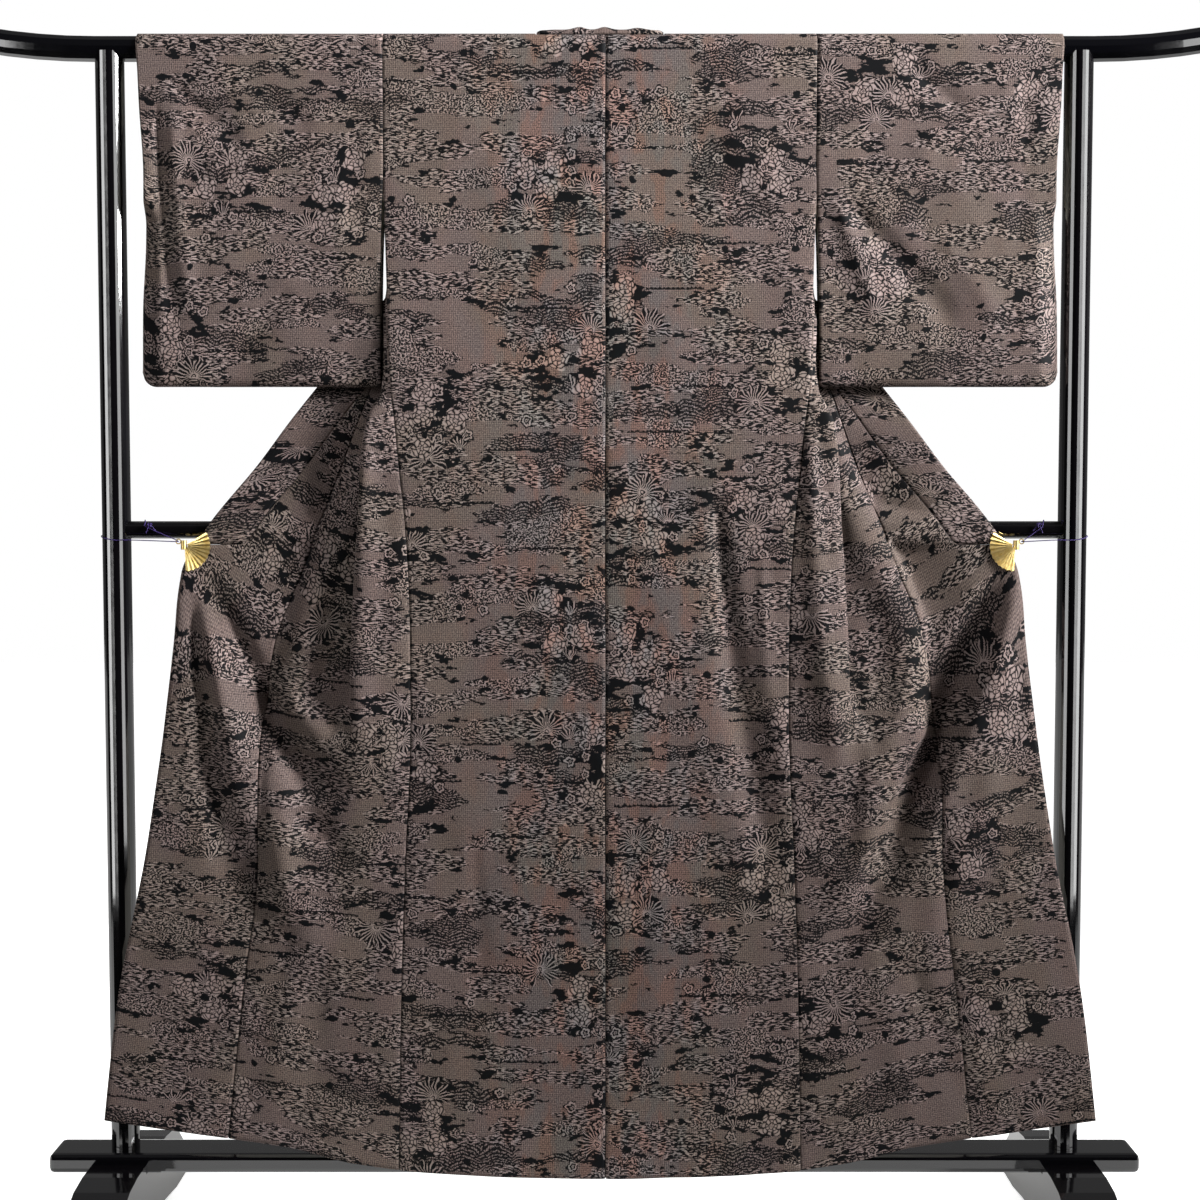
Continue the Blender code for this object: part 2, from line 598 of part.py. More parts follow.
def make_rail(collection):
    """The round top rail, swept up at both ends, with domed tips."""
    outs = [0.0, 0.35, RAIL_STRAIGHT, 0.74, 0.78, 0.82, 0.86]
    radii = [1.0] * len(outs)
    for angle in (0.0, 30.0, 55.0, 75.0):
        outs.append(RAIL_HALF - RAIL_RADIUS * (1.0 - sin(radians(angle))))
        radii.append(cos(radians(angle)))
    places = [(-out, radius) for out, radius in zip(reversed(outs), reversed(radii))][:-1]
    places += list(zip(outs, radii))
    curve = bpy.data.curves.new("rail", "CURVE")
    curve.dimensions = "3D"
    curve.bevel_depth = RAIL_RADIUS
    curve.bevel_resolution = 4
    curve.use_fill_caps = True
    spline = curve.splines.new("POLY")
    spline.points.add(len(places) - 1)
    for point, (out, radius) in zip(spline.points, places):
        point.co = (out, 0.0, rail_height(out), 1.0)
        point.radius = radius
    add_object("rail", curve, LACQUER, collection)


def make_rod(name, radius, length, centre, axis, finish, collection):
    """A plain cylinder along one axis, from the cylinder primitive."""
    mesh = bpy.data.meshes.new(name)
    bm = bmesh.new()
    bmesh.ops.create_cone(bm, cap_ends=True, segments=28, radius1=radius, radius2=radius,
                          depth=length)
    bm.to_mesh(mesh)
    bm.free()
    mesh.shade_smooth()
    item = add_object(name, mesh, finish, collection)
    item.location = centre
    if axis == "X":
        item.rotation_euler = (0.0, pi / 2, 0.0)
    return item


def make_cutter(item):
    """Turn an object into a hidden cutter."""
    item.hide_render = True
    item.display_type = "WIRE"
    return item


def cut(item, cutter, operation="DIFFERENCE"):
    """Add one Boolean to an object."""
    modifier = item.modifiers.new(operation.title(), "BOOLEAN")
    modifier.operation = operation
    modifier.solver = "EXACT"
    modifier.object = cutter


def make_posts(parts, cutters):
    """Two round posts, coped under the rail and drilled for the crossbar."""
    bottom = BOARD_Z[1] + GAP
    top = RAIL_Z - POST_CHEEK
    saddle = make_cutter(make_rod("saddle_cutter", RAIL_RADIUS + GAP, 2.0,
                                  (0.0, 0.0, RAIL_Z), "X", LACQUER, cutters))
    socket_length = 2.0 * (POST_OUT - POST_RADIUS + CROSSBAR_SOCKET + GAP)
    socket = make_cutter(make_rod("socket_cutter", CROSSBAR_RADIUS + GAP, socket_length,
                                  (0.0, 0.0, CROSSBAR_Z), "X", LACQUER, cutters))
    for name, side in (("post_left", -1), ("post_right", 1)):
        post = make_rod(name, POST_RADIUS, top - bottom,
                        (side * POST_OUT, 0.0, (top + bottom) / 2), "Z", LACQUER, parts)
        cut(post, saddle)
        cut(post, socket)


def make_board(collection):
    """The long base board."""
    mesh = bpy.data.meshes.new("base_board")
    bm = bmesh.new()
    bmesh.ops.create_cube(bm, size=1.0)
    size = (2 * BOARD_HALF[0], 2 * BOARD_HALF[1], BOARD_Z[1] - BOARD_Z[0])
    bmesh.ops.scale(bm, vec=size, verts=bm.verts)
    bm.to_mesh(mesh)
    bm.free()
    board = add_object("base_board", mesh, LACQUER, collection)
    board.location = (0.0, 0.0, sum(BOARD_Z) / 2)
    round_edges = board.modifiers.new("Rounded", "BEVEL")
    round_edges.width = BOARD_BEVEL
    round_edges.segments = 3


def foot_outline():
    """Return the foot's side view: pads, curved toes and the notch for the board."""
    notch = BOARD_HALF[1] + GAP
    half = [(notch, BOARD_Z[0] - GAP), (notch, FOOT_TOP), (FOOT_FLAT, FOOT_TOP)]
    for angle in (20.0, 40.0, 60.0, 75.0, 90.0):
        y = FOOT_FLAT + (FOOT_HALF - FOOT_FLAT) * sin(radians(angle))
        z = TOE_HEIGHT + (FOOT_TOP - TOE_HEIGHT) * cos(radians(angle))
        half.append((y, z))
    half += [(FOOT_HALF, 0.0), (FOOT_HALF - FOOT_PAD, 0.0)]
    for share in (0.25, 0.55, 1.0):
        y = (FOOT_HALF - FOOT_PAD) * (1.0 - share)
        half.append((y, FOOT_ARCH * sin(share * pi / 2)))
    return half + [(-y, z) for y, z in reversed(half[:-1])]


def make_foot(name, side, collection):
    """A cross foot, its outline extruded across its width."""
    mesh = bpy.data.meshes.new(name)
    bm = bmesh.new()
    verts = [bm.verts.new((-FOOT_WIDTH / 2, y, z)) for y, z in foot_outline()]
    face = bm.faces.new(verts)
    grown = bmesh.ops.extrude_face_region(bm, geom=[face])
    moved = [item for item in grown["geom"] if isinstance(item, bmesh.types.BMVert)]
    bmesh.ops.translate(bm, vec=(FOOT_WIDTH, 0.0, 0.0), verts=moved)
    bmesh.ops.recalc_face_normals(bm, faces=bm.faces)
    bm.to_mesh(mesh)
    bm.free()
    foot = add_object(name, mesh, LACQUER, collection)
    foot.location = (side * FOOT_OUT, 0.0, 0.0)


def fan_point(side, angle, radius, y):
    """Return a point of a fan clip by its angle above level."""
    out = CLIP_OUT - radius * cos(radians(angle))
    return to_world(side, out, y, CLIP_Z + radius * sin(radians(angle)))


def make_clip(name, side, parts, cutters):
    """A folding-fan clip: pleated front jaw, flat back jaw, barrel and cord ring."""
    edge_y = column_at(SECTIONS, "edge_y", CLIP_Z)
    front_y = edge_y - COLLAR_CLOTH / 2 - CLIP_SLACK - CLIP_METAL / 2 - PLEAT
    back_y = edge_y + COLLAR_CLOTH / 2 + 2 * GAP + CLIP_METAL / 2
    steps = 2 * FAN_RIBS
    front = []
    back = []
    for share in (0.0, 0.35, 1.0):
        radius = FAN_INNER + (FAN_RADIUS - FAN_INNER) * share
        row = []
        for index in range(steps + 1):
            angle = FAN_START + (FAN_END - FAN_START) * index / steps
            ridge = index % 2
            scallop = radius + SCALLOP * ridge * share
            row.append(fan_point(side, angle, scallop, front_y + PLEAT * (1 - 2 * ridge) * share))
        front.append(row)
        plain = [FAN_START + (FAN_END - FAN_START) * index / 8 for index in range(9)]
        back.append([fan_point(side, angle, radius * JAW_SHARE, back_y) for angle in plain])
    clip = sheet(name, front, CLIP_METAL, GILT, parts)
    jaw = make_cutter(sheet(name + "_jaw", back, CLIP_METAL, GILT, cutters))
    cut(clip, jaw, "UNION")
    centre = to_world(side, CLIP_OUT + 0.002, (front_y + back_y) / 2, CLIP_Z + 0.001)
    barrel = make_rod(name + "_barrel", BARREL_RADIUS, BARREL_LENGTH, centre, "Z", GILT, cutters)
    cut(clip, make_cutter(barrel), "UNION")
    mesh = bpy.data.meshes.new(name + "_ring")
    ring = add_object(name + "_ring", mesh, GILT, cutters)
    bm = bmesh.new()
    for turn in range(14):
        angle = 2 * pi * turn / 14
        for tube in range(6):
            around = 2 * pi * tube / 6
            reach = RING_RADIUS + RING_WIRE * cos(around)
            bm.verts.new((reach * cos(angle), RING_WIRE * sin(around), reach * sin(angle)))
    bm.verts.ensure_lookup_table()
    for turn in range(14):
        for tube in range(6):
            near = turn * 6
            far = (turn + 1) % 14 * 6
            after = (tube + 1) % 6
            bm.faces.new((bm.verts[near + tube], bm.verts[near + after],
                          bm.verts[far + after], bm.verts[far + tube]))
    bmesh.ops.recalc_face_normals(bm, faces=bm.faces)
    bm.to_mesh(mesh)
    bm.free()
    ring.location = ring_centre(side)
    cut(clip, make_cutter(ring), "UNION")


def ring_centre(side):
    """Return the middle of a clip's cord ring."""
    return to_world(side, CLIP_OUT + 0.0095, column_at(SECTIONS, "edge_y", CLIP_Z) - 0.0010,
                    CLIP_Z + 0.006)


def cord_route(side):
    """Return the route of one cord loop: ring, round the post, over the crossbar."""
    ring = ring_centre(side)
    clear = POST_RADIUS + CORD_RADIUS + 2 * GAP
    over = CROSSBAR_RADIUS + CORD_RADIUS + 3 * GAP
    post = side * POST_OUT
    points = [ring, ring + Vector((side * 0.006, -CORD_TURN, 0.0)),
              Vector((post - side * 0.030, -clear - GAP, CORD_LOW))]
    for angle in (-95.0, -60.0, -30.0, 0.0, 30.0, 60.0, 95.0):
        rise = 0.012 * (angle + 95.0) / 190.0
        points.append(Vector((post + side * clear * cos(radians(angle)),
                              clear * sin(radians(angle)), CORD_LOW + rise)))
    for angle in (90.0, 62.0, 35.0, 8.0, -20.0, -47.0, -72.0):
        slide = 0.034 + 0.012 * (90.0 - angle) / 162.0
        points.append(Vector((post - side * slide, over * sin(radians(angle)),
                              CROSSBAR_Z + over * cos(radians(angle)))))
    points.append(ring + Vector((side * 0.006, CORD_TURN, 0.003)))
    return points


def smooth_loop(points, spacing):
    """Return evenly spaced points on a closed smooth curve through the given ones."""
    count = len(points)
    dense = []
    for index in range(count):
        before, start, end, after = (points[(index + shift) % count] for shift in (-1, 0, 1, 2))
        for step in range(24):
            t = step / 24
            dense.append(0.5 * (2 * start + (end - before) * t
                                + (2 * before - 5 * start + 4 * end - after) * t ** 2
                                + (3 * start - before - 3 * end + after) * t ** 3))
    run = [0.0]
    for start, end in zip(dense, dense[1:] + dense[:1]):
        run.append(run[-1] + (end - start).length)
    wanted = np.linspace(0.0, run[-1], int(run[-1] / spacing) + 1)[:-1]
    closed = dense + dense[:1]
    axes = [np.interp(wanted, run, [point[axis] for point in closed]) for axis in range(3)]
    return list(zip(*axes))


def make_cord(name, side, collection):
    """The loop that ties a clip to its post and over the crossbar."""
    curve = bpy.data.curves.new(name, "CURVE")
    curve.dimensions = "3D"
    curve.bevel_depth = CORD_RADIUS
    curve.bevel_resolution = 2
    route = smooth_loop(cord_route(side), CORD_SPACING)
    spline = curve.splines.new("POLY")
    spline.points.add(len(route) - 1)
    for point, place in zip(spline.points, route):
        point.co = (*place, 1.0)
    spline.use_cyclic_u = True
    add_object(name, curve, CORD, collection)


def main():
    """Build the stand, then the garment, then its clips."""
    remove_everything()
    parts = bpy.data.collections.new("kimono_on_display_stand")
    cutters = bpy.data.collections.new("cutters")
    bpy.context.scene.collection.children.link(parts)
    bpy.context.scene.collection.children.link(cutters)

    make_rail(parts)
    make_posts(parts, cutters)
    make_rod("crossbar", CROSSBAR_RADIUS, 2.0 * (POST_OUT - POST_RADIUS + CROSSBAR_SOCKET),
             (0.0, 0.0, CROSSBAR_Z), "X", LACQUER, parts)
    make_board(parts)
    for label, side in (("left", -1), ("right", 1)):
        make_foot("foot_" + label, side, parts)
        make_body("body_" + label, side, parts)
        make_okumi("okumi_" + label, side, parts)
        make_sleeve("sleeve_" + label, side, parts)
        make_clip("clip_" + label, side, parts, cutters)
        make_cord("cord_" + label, side, parts)
    make_collar("collar", parts)


main()
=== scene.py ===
"""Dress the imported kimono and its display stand, and light them as in the studio.

Metres, +Z up.  The garment's back faces -Y.  A length "out" is measured sideways
from the garment's own middle line, so the same number serves both sides.
"""

import logging
from dataclasses import dataclass, field
from enum import Enum
from math import atan2, cos, degrees, pi, radians, sin, sqrt
from typing import Any, NamedTuple, Optional, Sequence, Union

import bmesh
import bpy
import numpy as np
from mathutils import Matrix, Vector


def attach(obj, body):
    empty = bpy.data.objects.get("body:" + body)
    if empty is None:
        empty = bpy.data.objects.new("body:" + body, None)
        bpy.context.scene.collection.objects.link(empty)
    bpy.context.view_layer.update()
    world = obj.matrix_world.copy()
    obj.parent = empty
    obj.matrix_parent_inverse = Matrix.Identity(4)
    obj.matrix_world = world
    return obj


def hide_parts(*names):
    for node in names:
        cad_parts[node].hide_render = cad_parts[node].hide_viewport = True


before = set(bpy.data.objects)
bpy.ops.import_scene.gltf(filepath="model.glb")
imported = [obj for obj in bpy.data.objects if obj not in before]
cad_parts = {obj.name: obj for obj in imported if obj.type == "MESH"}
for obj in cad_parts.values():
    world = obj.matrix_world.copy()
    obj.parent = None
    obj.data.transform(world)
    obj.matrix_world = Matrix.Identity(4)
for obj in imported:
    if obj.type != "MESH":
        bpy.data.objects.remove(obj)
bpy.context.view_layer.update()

log = logging.getLogger("kimono")

Array = np.ndarray
Place = tuple[float, float]
Number = Union[float, "Value"]
HOLE = (np.nan, np.nan, np.nan)

# Sizes that the solids have too
GAP = 0.0003                # between neighbours that touch
SEAM = 0.0005               # between two panels along a seam
CLOTH = 0.0016
COLLAR_CLOTH = 0.0026
RAIL_RADIUS = 0.018
RAIL_Z = 1.684
CROSSBAR_Z = 1.010
MIDDLE = 0.008              # the garment's middle line, along X
CENTRE_SEAM = 0.008         # how far its centre seam lies beside that
WRAP_STEP = 32.0            # degrees between the solids' points over the rail, at most
WRAP = (RAIL_RADIUS + GAP) / cos(radians(WRAP_STEP / 2)) + CLOTH / 2
COLLAR_WRAP = (RAIL_RADIUS + GAP) / cos(radians(WRAP_STEP / 2)) + COLLAR_CLOTH / 2
HEM_Z = 0.100
COLLAR_END_Z = 0.990
TIP_Z = 1.225               # where the overlap panel ends in a point
OPEN_Z = 1.322              # top of the side seam
TURNED_Z = 1.360            # here the front's side has turned behind the back
SLEEVE_SEAM_Z = 1.477       # bottom of the armhole seam
TOP_ROW_Z = 1.650           # last row of a hanging wall below the rail
COLLAR_ACROSS = 0.070
TIP_WIDTH = 0.003
ROLL_SLACK = 0.0006
ROLL_SLACK_RISE = 0.1
NECK_OUT = 0.090
ARMHOLE_OUT = 0.3025
NECK_BACK = -35.0           # degrees over the rail, where the neck's cut starts
TURN_RADIUS = 0.0045
NECK_TURN_RADIUS = 0.0100
TURN_RISE = 0.0055
TURN_REACH = 0.030
TURN_REACH_SHARE = 0.6      # at most, of the stretch after the second turn
TURN_TO_SEAM = 0.012
TURN_HANDLE = 0.33          # how far a soft turn's handles reach, as a share of it
TURN_CORNER = 0.4           # how round a sharp turn is for its radius
HEM_RISE_TOP = 0.900
HEM_RISE_POWER = 1.5
HEM_RISE = {"centre": -0.013, "side": -0.001, "turn1": 0.010, "turn2": 0.032, "edge": 0.070}
SLEEVE_BOTTOM = 1.212
SLEEVE_CORNER = 0.020
SLEEVE_UNDER_Z = 1.225      # here the walls turn under
SLEEVE_UNDER_TURN = 15.0    # degrees, the first of the turn's points
CUFF_Z = 1.454
CUFF_PINCH = 0.0012
CUFF_PINCH_ABOVE = 0.012
CUFF_PINCH_FALL = 0.035
PINCH_REACH = 0.030
# The fronts' weft curves upward towards the clips: rise for a square metre, by level
GRAIN_LEVELS = (0.100, 0.500, 0.700, 0.800, 0.950, 1.100, 1.250, 1.500, RAIL_Z)
GRAIN_RISES = (0.00, 0.00, 0.10, 0.30, 0.75, 0.90, 0.80, 0.30, 0.00)
# Beside the slit the front falls back from its seam
SLIT_LEVELS = (1.190, 1.225, 1.330, 1.350)
SLIT_DEPTH = 0.014
SLIT_EDGE = 0.005
NECK_WAVES = ((-0.032, 0.006), (0.007, 0.006), (0.058, 0.004))
NECK_WAVE_WIDTH = 0.011
ROLL_REACH = 0.046
STAND_RISE = 0.013
STAND_LEAN = 0.002
NECK_SIDE_END = -18.0       # degrees over the rail
NECK_BACK_CLEAR = 4.0       # degrees between the collar's seam and the neck's cut
NECK_BACK_OUTS = (0.082, 0.003)
# The folds of the fronts lie before the crossbar: distance from its axis, its half
# height, how softly and how steeply they clear it, and where they are past it
CROSSBAR_CLEAR = 0.0195
CROSSBAR_HALF = 0.014
CROSSBAR_EASE = 0.0012
CROSSBAR_SLOPE = 0.9
CROSSBAR_FREE_OUT = 0.56
# Shares of a fold's path: where it fades in and out, and where it is full wide
FOLD_FADE_IN, FOLD_FADE_OUT = 0.18, 0.3
FOLD_NARROW, FOLD_WIDENS = 0.45, 0.6
ROLL_FADE_IN, ROLL_FADE_OUT = 0.15, 0.25
# A rolled fold's crest: its height for the fold's depth, and its place and width
# for the fold's reach
CREST_HEIGHT, CREST_PLACE, CREST_WIDTH = 0.45, 0.55, 0.42
ROLL_FROM_TURN = 0.03       # rolled folds start this far past the first turn
# How far below the rail's axis something starts, and over what height it grows
RIPPLE_START, RIPPLE_GROWTH = 0.035, 0.08
PUCKER_START, PUCKER_GROWTH = 0.03, 0.05
SEAM_TURN_START, SEAM_TURN_GROWTH = 0.024, 0.01
SLEEVE_RIPPLE = (1.4, 0.1)  # a sleeve's ripples are spread and shifted

# An edge along a seam turns inward: distance back from the seam and depth, in
# cloth thicknesses.  One side stays short and the other is pressed across it.
SHORT_ALLOWANCE = ((2.2, 0.00), (1.4, 0.14), (0.80, 0.52), (0.53, 1.00), (0.53, 1.50),
                   (0.53, 2.20), (0.53, 2.90))
PRESSED_ALLOWANCE = ((2.2, 0.00), (1.4, 0.14), (0.80, 0.56), (0.53, 1.50), (0.50, 2.70),
                     (-0.70, 3.50), (-4.20, 3.60))
ALLOWANCE_LINES = len(SHORT_ALLOWANCE)
MEETING = 0.53              # where two turned edges face each other
ROOM_SHARE = 0.9            # of the way to the next points, which a turn may take
PRESSED_OPEN = 0.004        # the allowance is pressed flat this far below the slit
PRESSED_GROWTH = 0.01
ALLOWANCE_WIDTH = 0.003     # on the flat cloth
ALLOWANCE_STEP = 0.001
WELD = 0.00001
SELVAGE_SLOT = 2

# How finely the cloth is meshed
ROW = 0.0062                # between rows
STRETCH_POINTS = (15, 16, 27)
STRETCH_CROWDING = (0.9, 0.8)
NECK_COLUMNS = 15
SECTION_POINTS = 60
OKUMI_COLUMNS = 26
BELOW_COLLAR_COLUMNS = 12
COLLAR_COLUMNS = 16
BACK_WRAP_ROWS, FRONT_WRAP_ROWS = 7, 15
NECK_SIDE_ROWS, NECK_BACK_ROWS = 15, 18
SLEEVE_LEVELS = 69
SLEEVE_UNDER_POINTS = 9
SLEEVE_OVER_POINTS = 19
SLEEVE_COLUMNS, CORNER_COLUMNS = 50, 14
CORNER_STEP = 0.90
BACK_HEIGHTS = 5
# Where each piece's cut lies on the figured cloth
CUT_PLACES = {
    "body_left": (0.35, 0.00), "body_right": (1.62, 0.43),
    "okumi_left": (2.70, 0.21), "okumi_right": (3.90, 0.58), "collar": (5.2, 0.3),
    "sleeve_left": (7.1, 0.25), "sleeve_right": (8.3, 0.12),
}


class Side(Enum):
    """The wearer's side, which is also the viewer's."""

    LEFT = -1
    RIGHT = 1

    @property
    def word(self) -> str:
        """Return the side's name in a node."""
        return self.name.lower()


class Section(NamedTuple):
    """Where a front's seam, two turns and free edge lie at one height."""

    z: float
    back_y: float
    side: float
    side_y: float
    side_turn: float
    turn1: float
    turn1_y: float
    turn1_turn: float
    turn2: float
    turn2_y: float
    turn2_turn: float
    edge: float
    edge_y: float
    seam: float


SECTIONS = (
    Section(0.100, -0.0490, 0.2865, -0.0490, 0, 0.355, -0.0490, 0,
            0.440, -0.0480, 0, 0.7140, -0.0450, 0.5380),
    Section(0.350, -0.0490, 0.2810, -0.0490, 0, 0.354, -0.0490, 0,
            0.440, -0.0475, 2, 0.6840, -0.0420, 0.5085),
    Section(0.550, -0.0485, 0.2740, -0.0485, 0, 0.352, -0.0490, 3,
            0.420, -0.0460, 4, 0.6440, -0.0370, 0.4850),
    Section(0.700, -0.0483, 0.2665, -0.0483, 0, 0.349, -0.0480, 12,
            0.385, -0.0425, 15, 0.6210, -0.0320, 0.4820),
    Section(0.760, -0.0482, 0.2655, -0.0482, 2, 0.350, -0.0465, 60,
            0.356, -0.0390, 60, 0.6135, -0.0285, 0.4760),
    Section(0.850, -0.0480, 0.2655, -0.0480, 3, 0.348, -0.0440, 90,
            0.331, -0.0350, 90, 0.6025, -0.0240, 0.4610),
    Section(0.950, -0.0475, 0.2680, -0.0475, 4, 0.343, -0.0415, 90,
            0.306, -0.0310, 90, 0.5915, -0.0195, 0.4225),
    Section(1.020, -0.0465, 0.2725, -0.0465, 4, 0.338, -0.0405, 90,
            0.287, -0.0270, 90, 0.5505, -0.0185, 0.3970),
    Section(1.100, -0.0445, 0.2810, -0.0445, 4, 0.334, -0.0385, 90,
            0.264, -0.0205, 90, 0.4860, -0.0085, 0.3660),
    Section(1.165, -0.0415, 0.2870, -0.0415, 4, 0.325, -0.0365, 90,
            0.244, -0.0150, 90, 0.4380, -0.0030, 0.3420),
    Section(1.210, -0.0395, 0.2930, -0.0395, 8, 0.3055, -0.0320, 90,
            0.226, -0.0100, 90, 0.4030, 0.0030, 0.3250),
    Section(1.265, -0.0375, 0.2952, -0.0375, 20, 0.3050, -0.0310, 90,
            0.196, -0.0040, 90, 0.3600, 0.0080, 0.2900),
    Section(OPEN_Z, -0.0355, 0.2970, -0.0343, 35, 0.3040, -0.0290, 95,
            0.164, 0.0040, 90, 0.3180, 0.0140, 0.2480),
    Section(1.341, -0.0345, 0.2976, -0.0270, 70, 0.2995, -0.0205, 115,
            0.156, 0.0060, 90, 0.3040, 0.0180, 0.2340),
    Section(1.360, -0.0335, 0.2982, -0.0185, 100, 0.2955, -0.0115, 140,
            0.148, 0.0090, 90, 0.2900, 0.0215, 0.2200),
    Section(1.400, -0.0315, 0.2995, -0.0030, 150, 0.280, 0.0025, 172,
            0.130, 0.0140, 90, 0.2600, 0.0270, 0.1900),
    Section(1.500, -0.0266, ARMHOLE_OUT, 0.0116, 180, 0.264, 0.0125, 180,
            0.094, 0.0225, 90, 0.1880, 0.0360, 0.1180),
    Section(1.600, -0.0228, ARMHOLE_OUT, 0.0163, 180, 0.266, 0.0168, 180,
            0.070, 0.0280, 90, 0.1180, 0.0400, 0.1040),
    Section(1.650, -0.0208, ARMHOLE_OUT, 0.0185, 180, 0.267, 0.0190, 180,
            0.050, 0.0310, 90, 0.0760, 0.0430, 0.0950),
    Section(RAIL_Z, -WRAP, ARMHOLE_OUT, WRAP, 180, 0.268, WRAP, 180,
            0.040, 0.0330, 90, 0.0530, 0.0480, 0.0900),
)


class SleeveRow(NamedTuple):
    """A sleeve's two walls and its two ends at one height."""

    z: float
    back_y: float
    front_y: float
    inner: float
    outer: float


SLEEVE_ROWS = (
    SleeveRow(1.212, -0.0240, -0.0080, 0.3075, 0.6430),
    SleeveRow(1.300, -0.0275, 0.0005, 0.3070, 0.6420),
    SleeveRow(1.400, -0.0280, 0.0060, 0.3055, 0.6370),
    SleeveRow(1.500, -0.0266, 0.0116, ARMHOLE_OUT, 0.6360),
    SleeveRow(1.600, -0.0228, 0.0163, ARMHOLE_OUT, 0.6420),
    SleeveRow(1.650, -0.0208, 0.0185, ARMHOLE_OUT, 0.6440),
    SleeveRow(RAIL_Z, -WRAP, WRAP, ARMHOLE_OUT, 0.6460),
)


class NeckKey(NamedTuple):
    """How the collar stands at one distance along the neckline."""

    run: float
    out: float
    y: float
    rise: float
    turned: float
    bend_out: float
    bend_y: float
    bend_z: float


NECK_KEYS = (
    NeckKey(0.000, 0.0600, 0.0540, -0.006, 0.25, -0.022, -0.006, 0.002),
    NeckKey(0.020, 0.0500, 0.0545, 0.008, 0.55, -0.012, -0.018, 0.006),
    NeckKey(0.040, 0.0420, 0.0500, 0.012, 0.85, -0.003, -0.016, 0.014),
    NeckKey(0.062, 0.0340, 0.0420, 0.008, 1.00, 0.000, -0.004, 0.022),
    NeckKey(0.128, 0.0000, 0.0265, 0.003, 1.00, 0.000, 0.002, 0.024),
)


class Fold(NamedTuple):
    """A soft trough (depth > 0, away from the viewer) or ridge along a path."""

    side: int
    depth: float
    width: float
    path: tuple[Place, ...]


class Roll(NamedTuple):
    """A rolled fold along a downward path: proud inside it, sunk outside it."""

    side: int
    depth: float
    width: float
    reach: float
    path: tuple[Place, ...]


ROLLS = (
    Roll(-1, 0.0095, 0.006, 0.045, ((0.328, 1.16), (0.356, 1.08), (0.414, 0.946), (0.461, 0.783),
        (0.473, 0.653), (0.465, 0.546), (0.488, 0.355))),
    Roll(1, 0.02, 0.004, 0.062, ((0.318, 1.19), (0.335, 1.145), (0.389, 1.038), (0.435, 0.942),
        (0.46, 0.881), (0.466, 0.789), (0.463, 0.724), (0.435, 0.671), (0.368, 0.536), (0.345, 0.44))),
    Roll(-1, -0.008, 0.009, 0.04, ((0.585, 0.96), (0.566, 0.85), (0.545, 0.765), (0.512, 0.671),
        (0.495, 0.56))),
)
# The main folds, which the solids have too
FOLDS = (
    Fold(-1, 0.012, 0.024, ((0.545, 0.935), (0.437, 0.686), (0.37, 0.52))),
    Fold(-1, -0.011, 0.03, ((0.565, 0.92), (0.494, 0.629), (0.36, 0.33))),
    Fold(-1, 0.007, 0.022, ((0.58, 0.92), (0.555, 0.729), (0.505, 0.44))),
    Fold(1, 0.013, 0.026, ((0.575, 0.935), (0.424, 0.572), (0.299, 0.328))),
    Fold(1, -0.01, 0.028, ((0.47, 0.78), (0.405, 0.59), (0.32, 0.43))),
    Fold(1, -0.007, 0.03, ((0.585, 0.9), (0.545, 0.64), (0.45, 0.36))),
    Fold(1, 0.009, 0.022, ((0.158, 1.09), (0.189, 0.801), (0.256, 0.44))),
)
SLEEVE_FOLDS = (
    Fold(-1, 0.006, 0.022, ((0.425, 1.36), (0.545, 1.225))),
    Fold(-1, 0.004, 0.018, ((0.56, 1.66), (0.38, 1.56))),
    Fold(1, 0.007, 0.022, ((0.34, 1.475), (0.52, 1.27))),
    Fold(1, -0.005, 0.024, ((0.6, 1.64), (0.4, 1.5))),
)
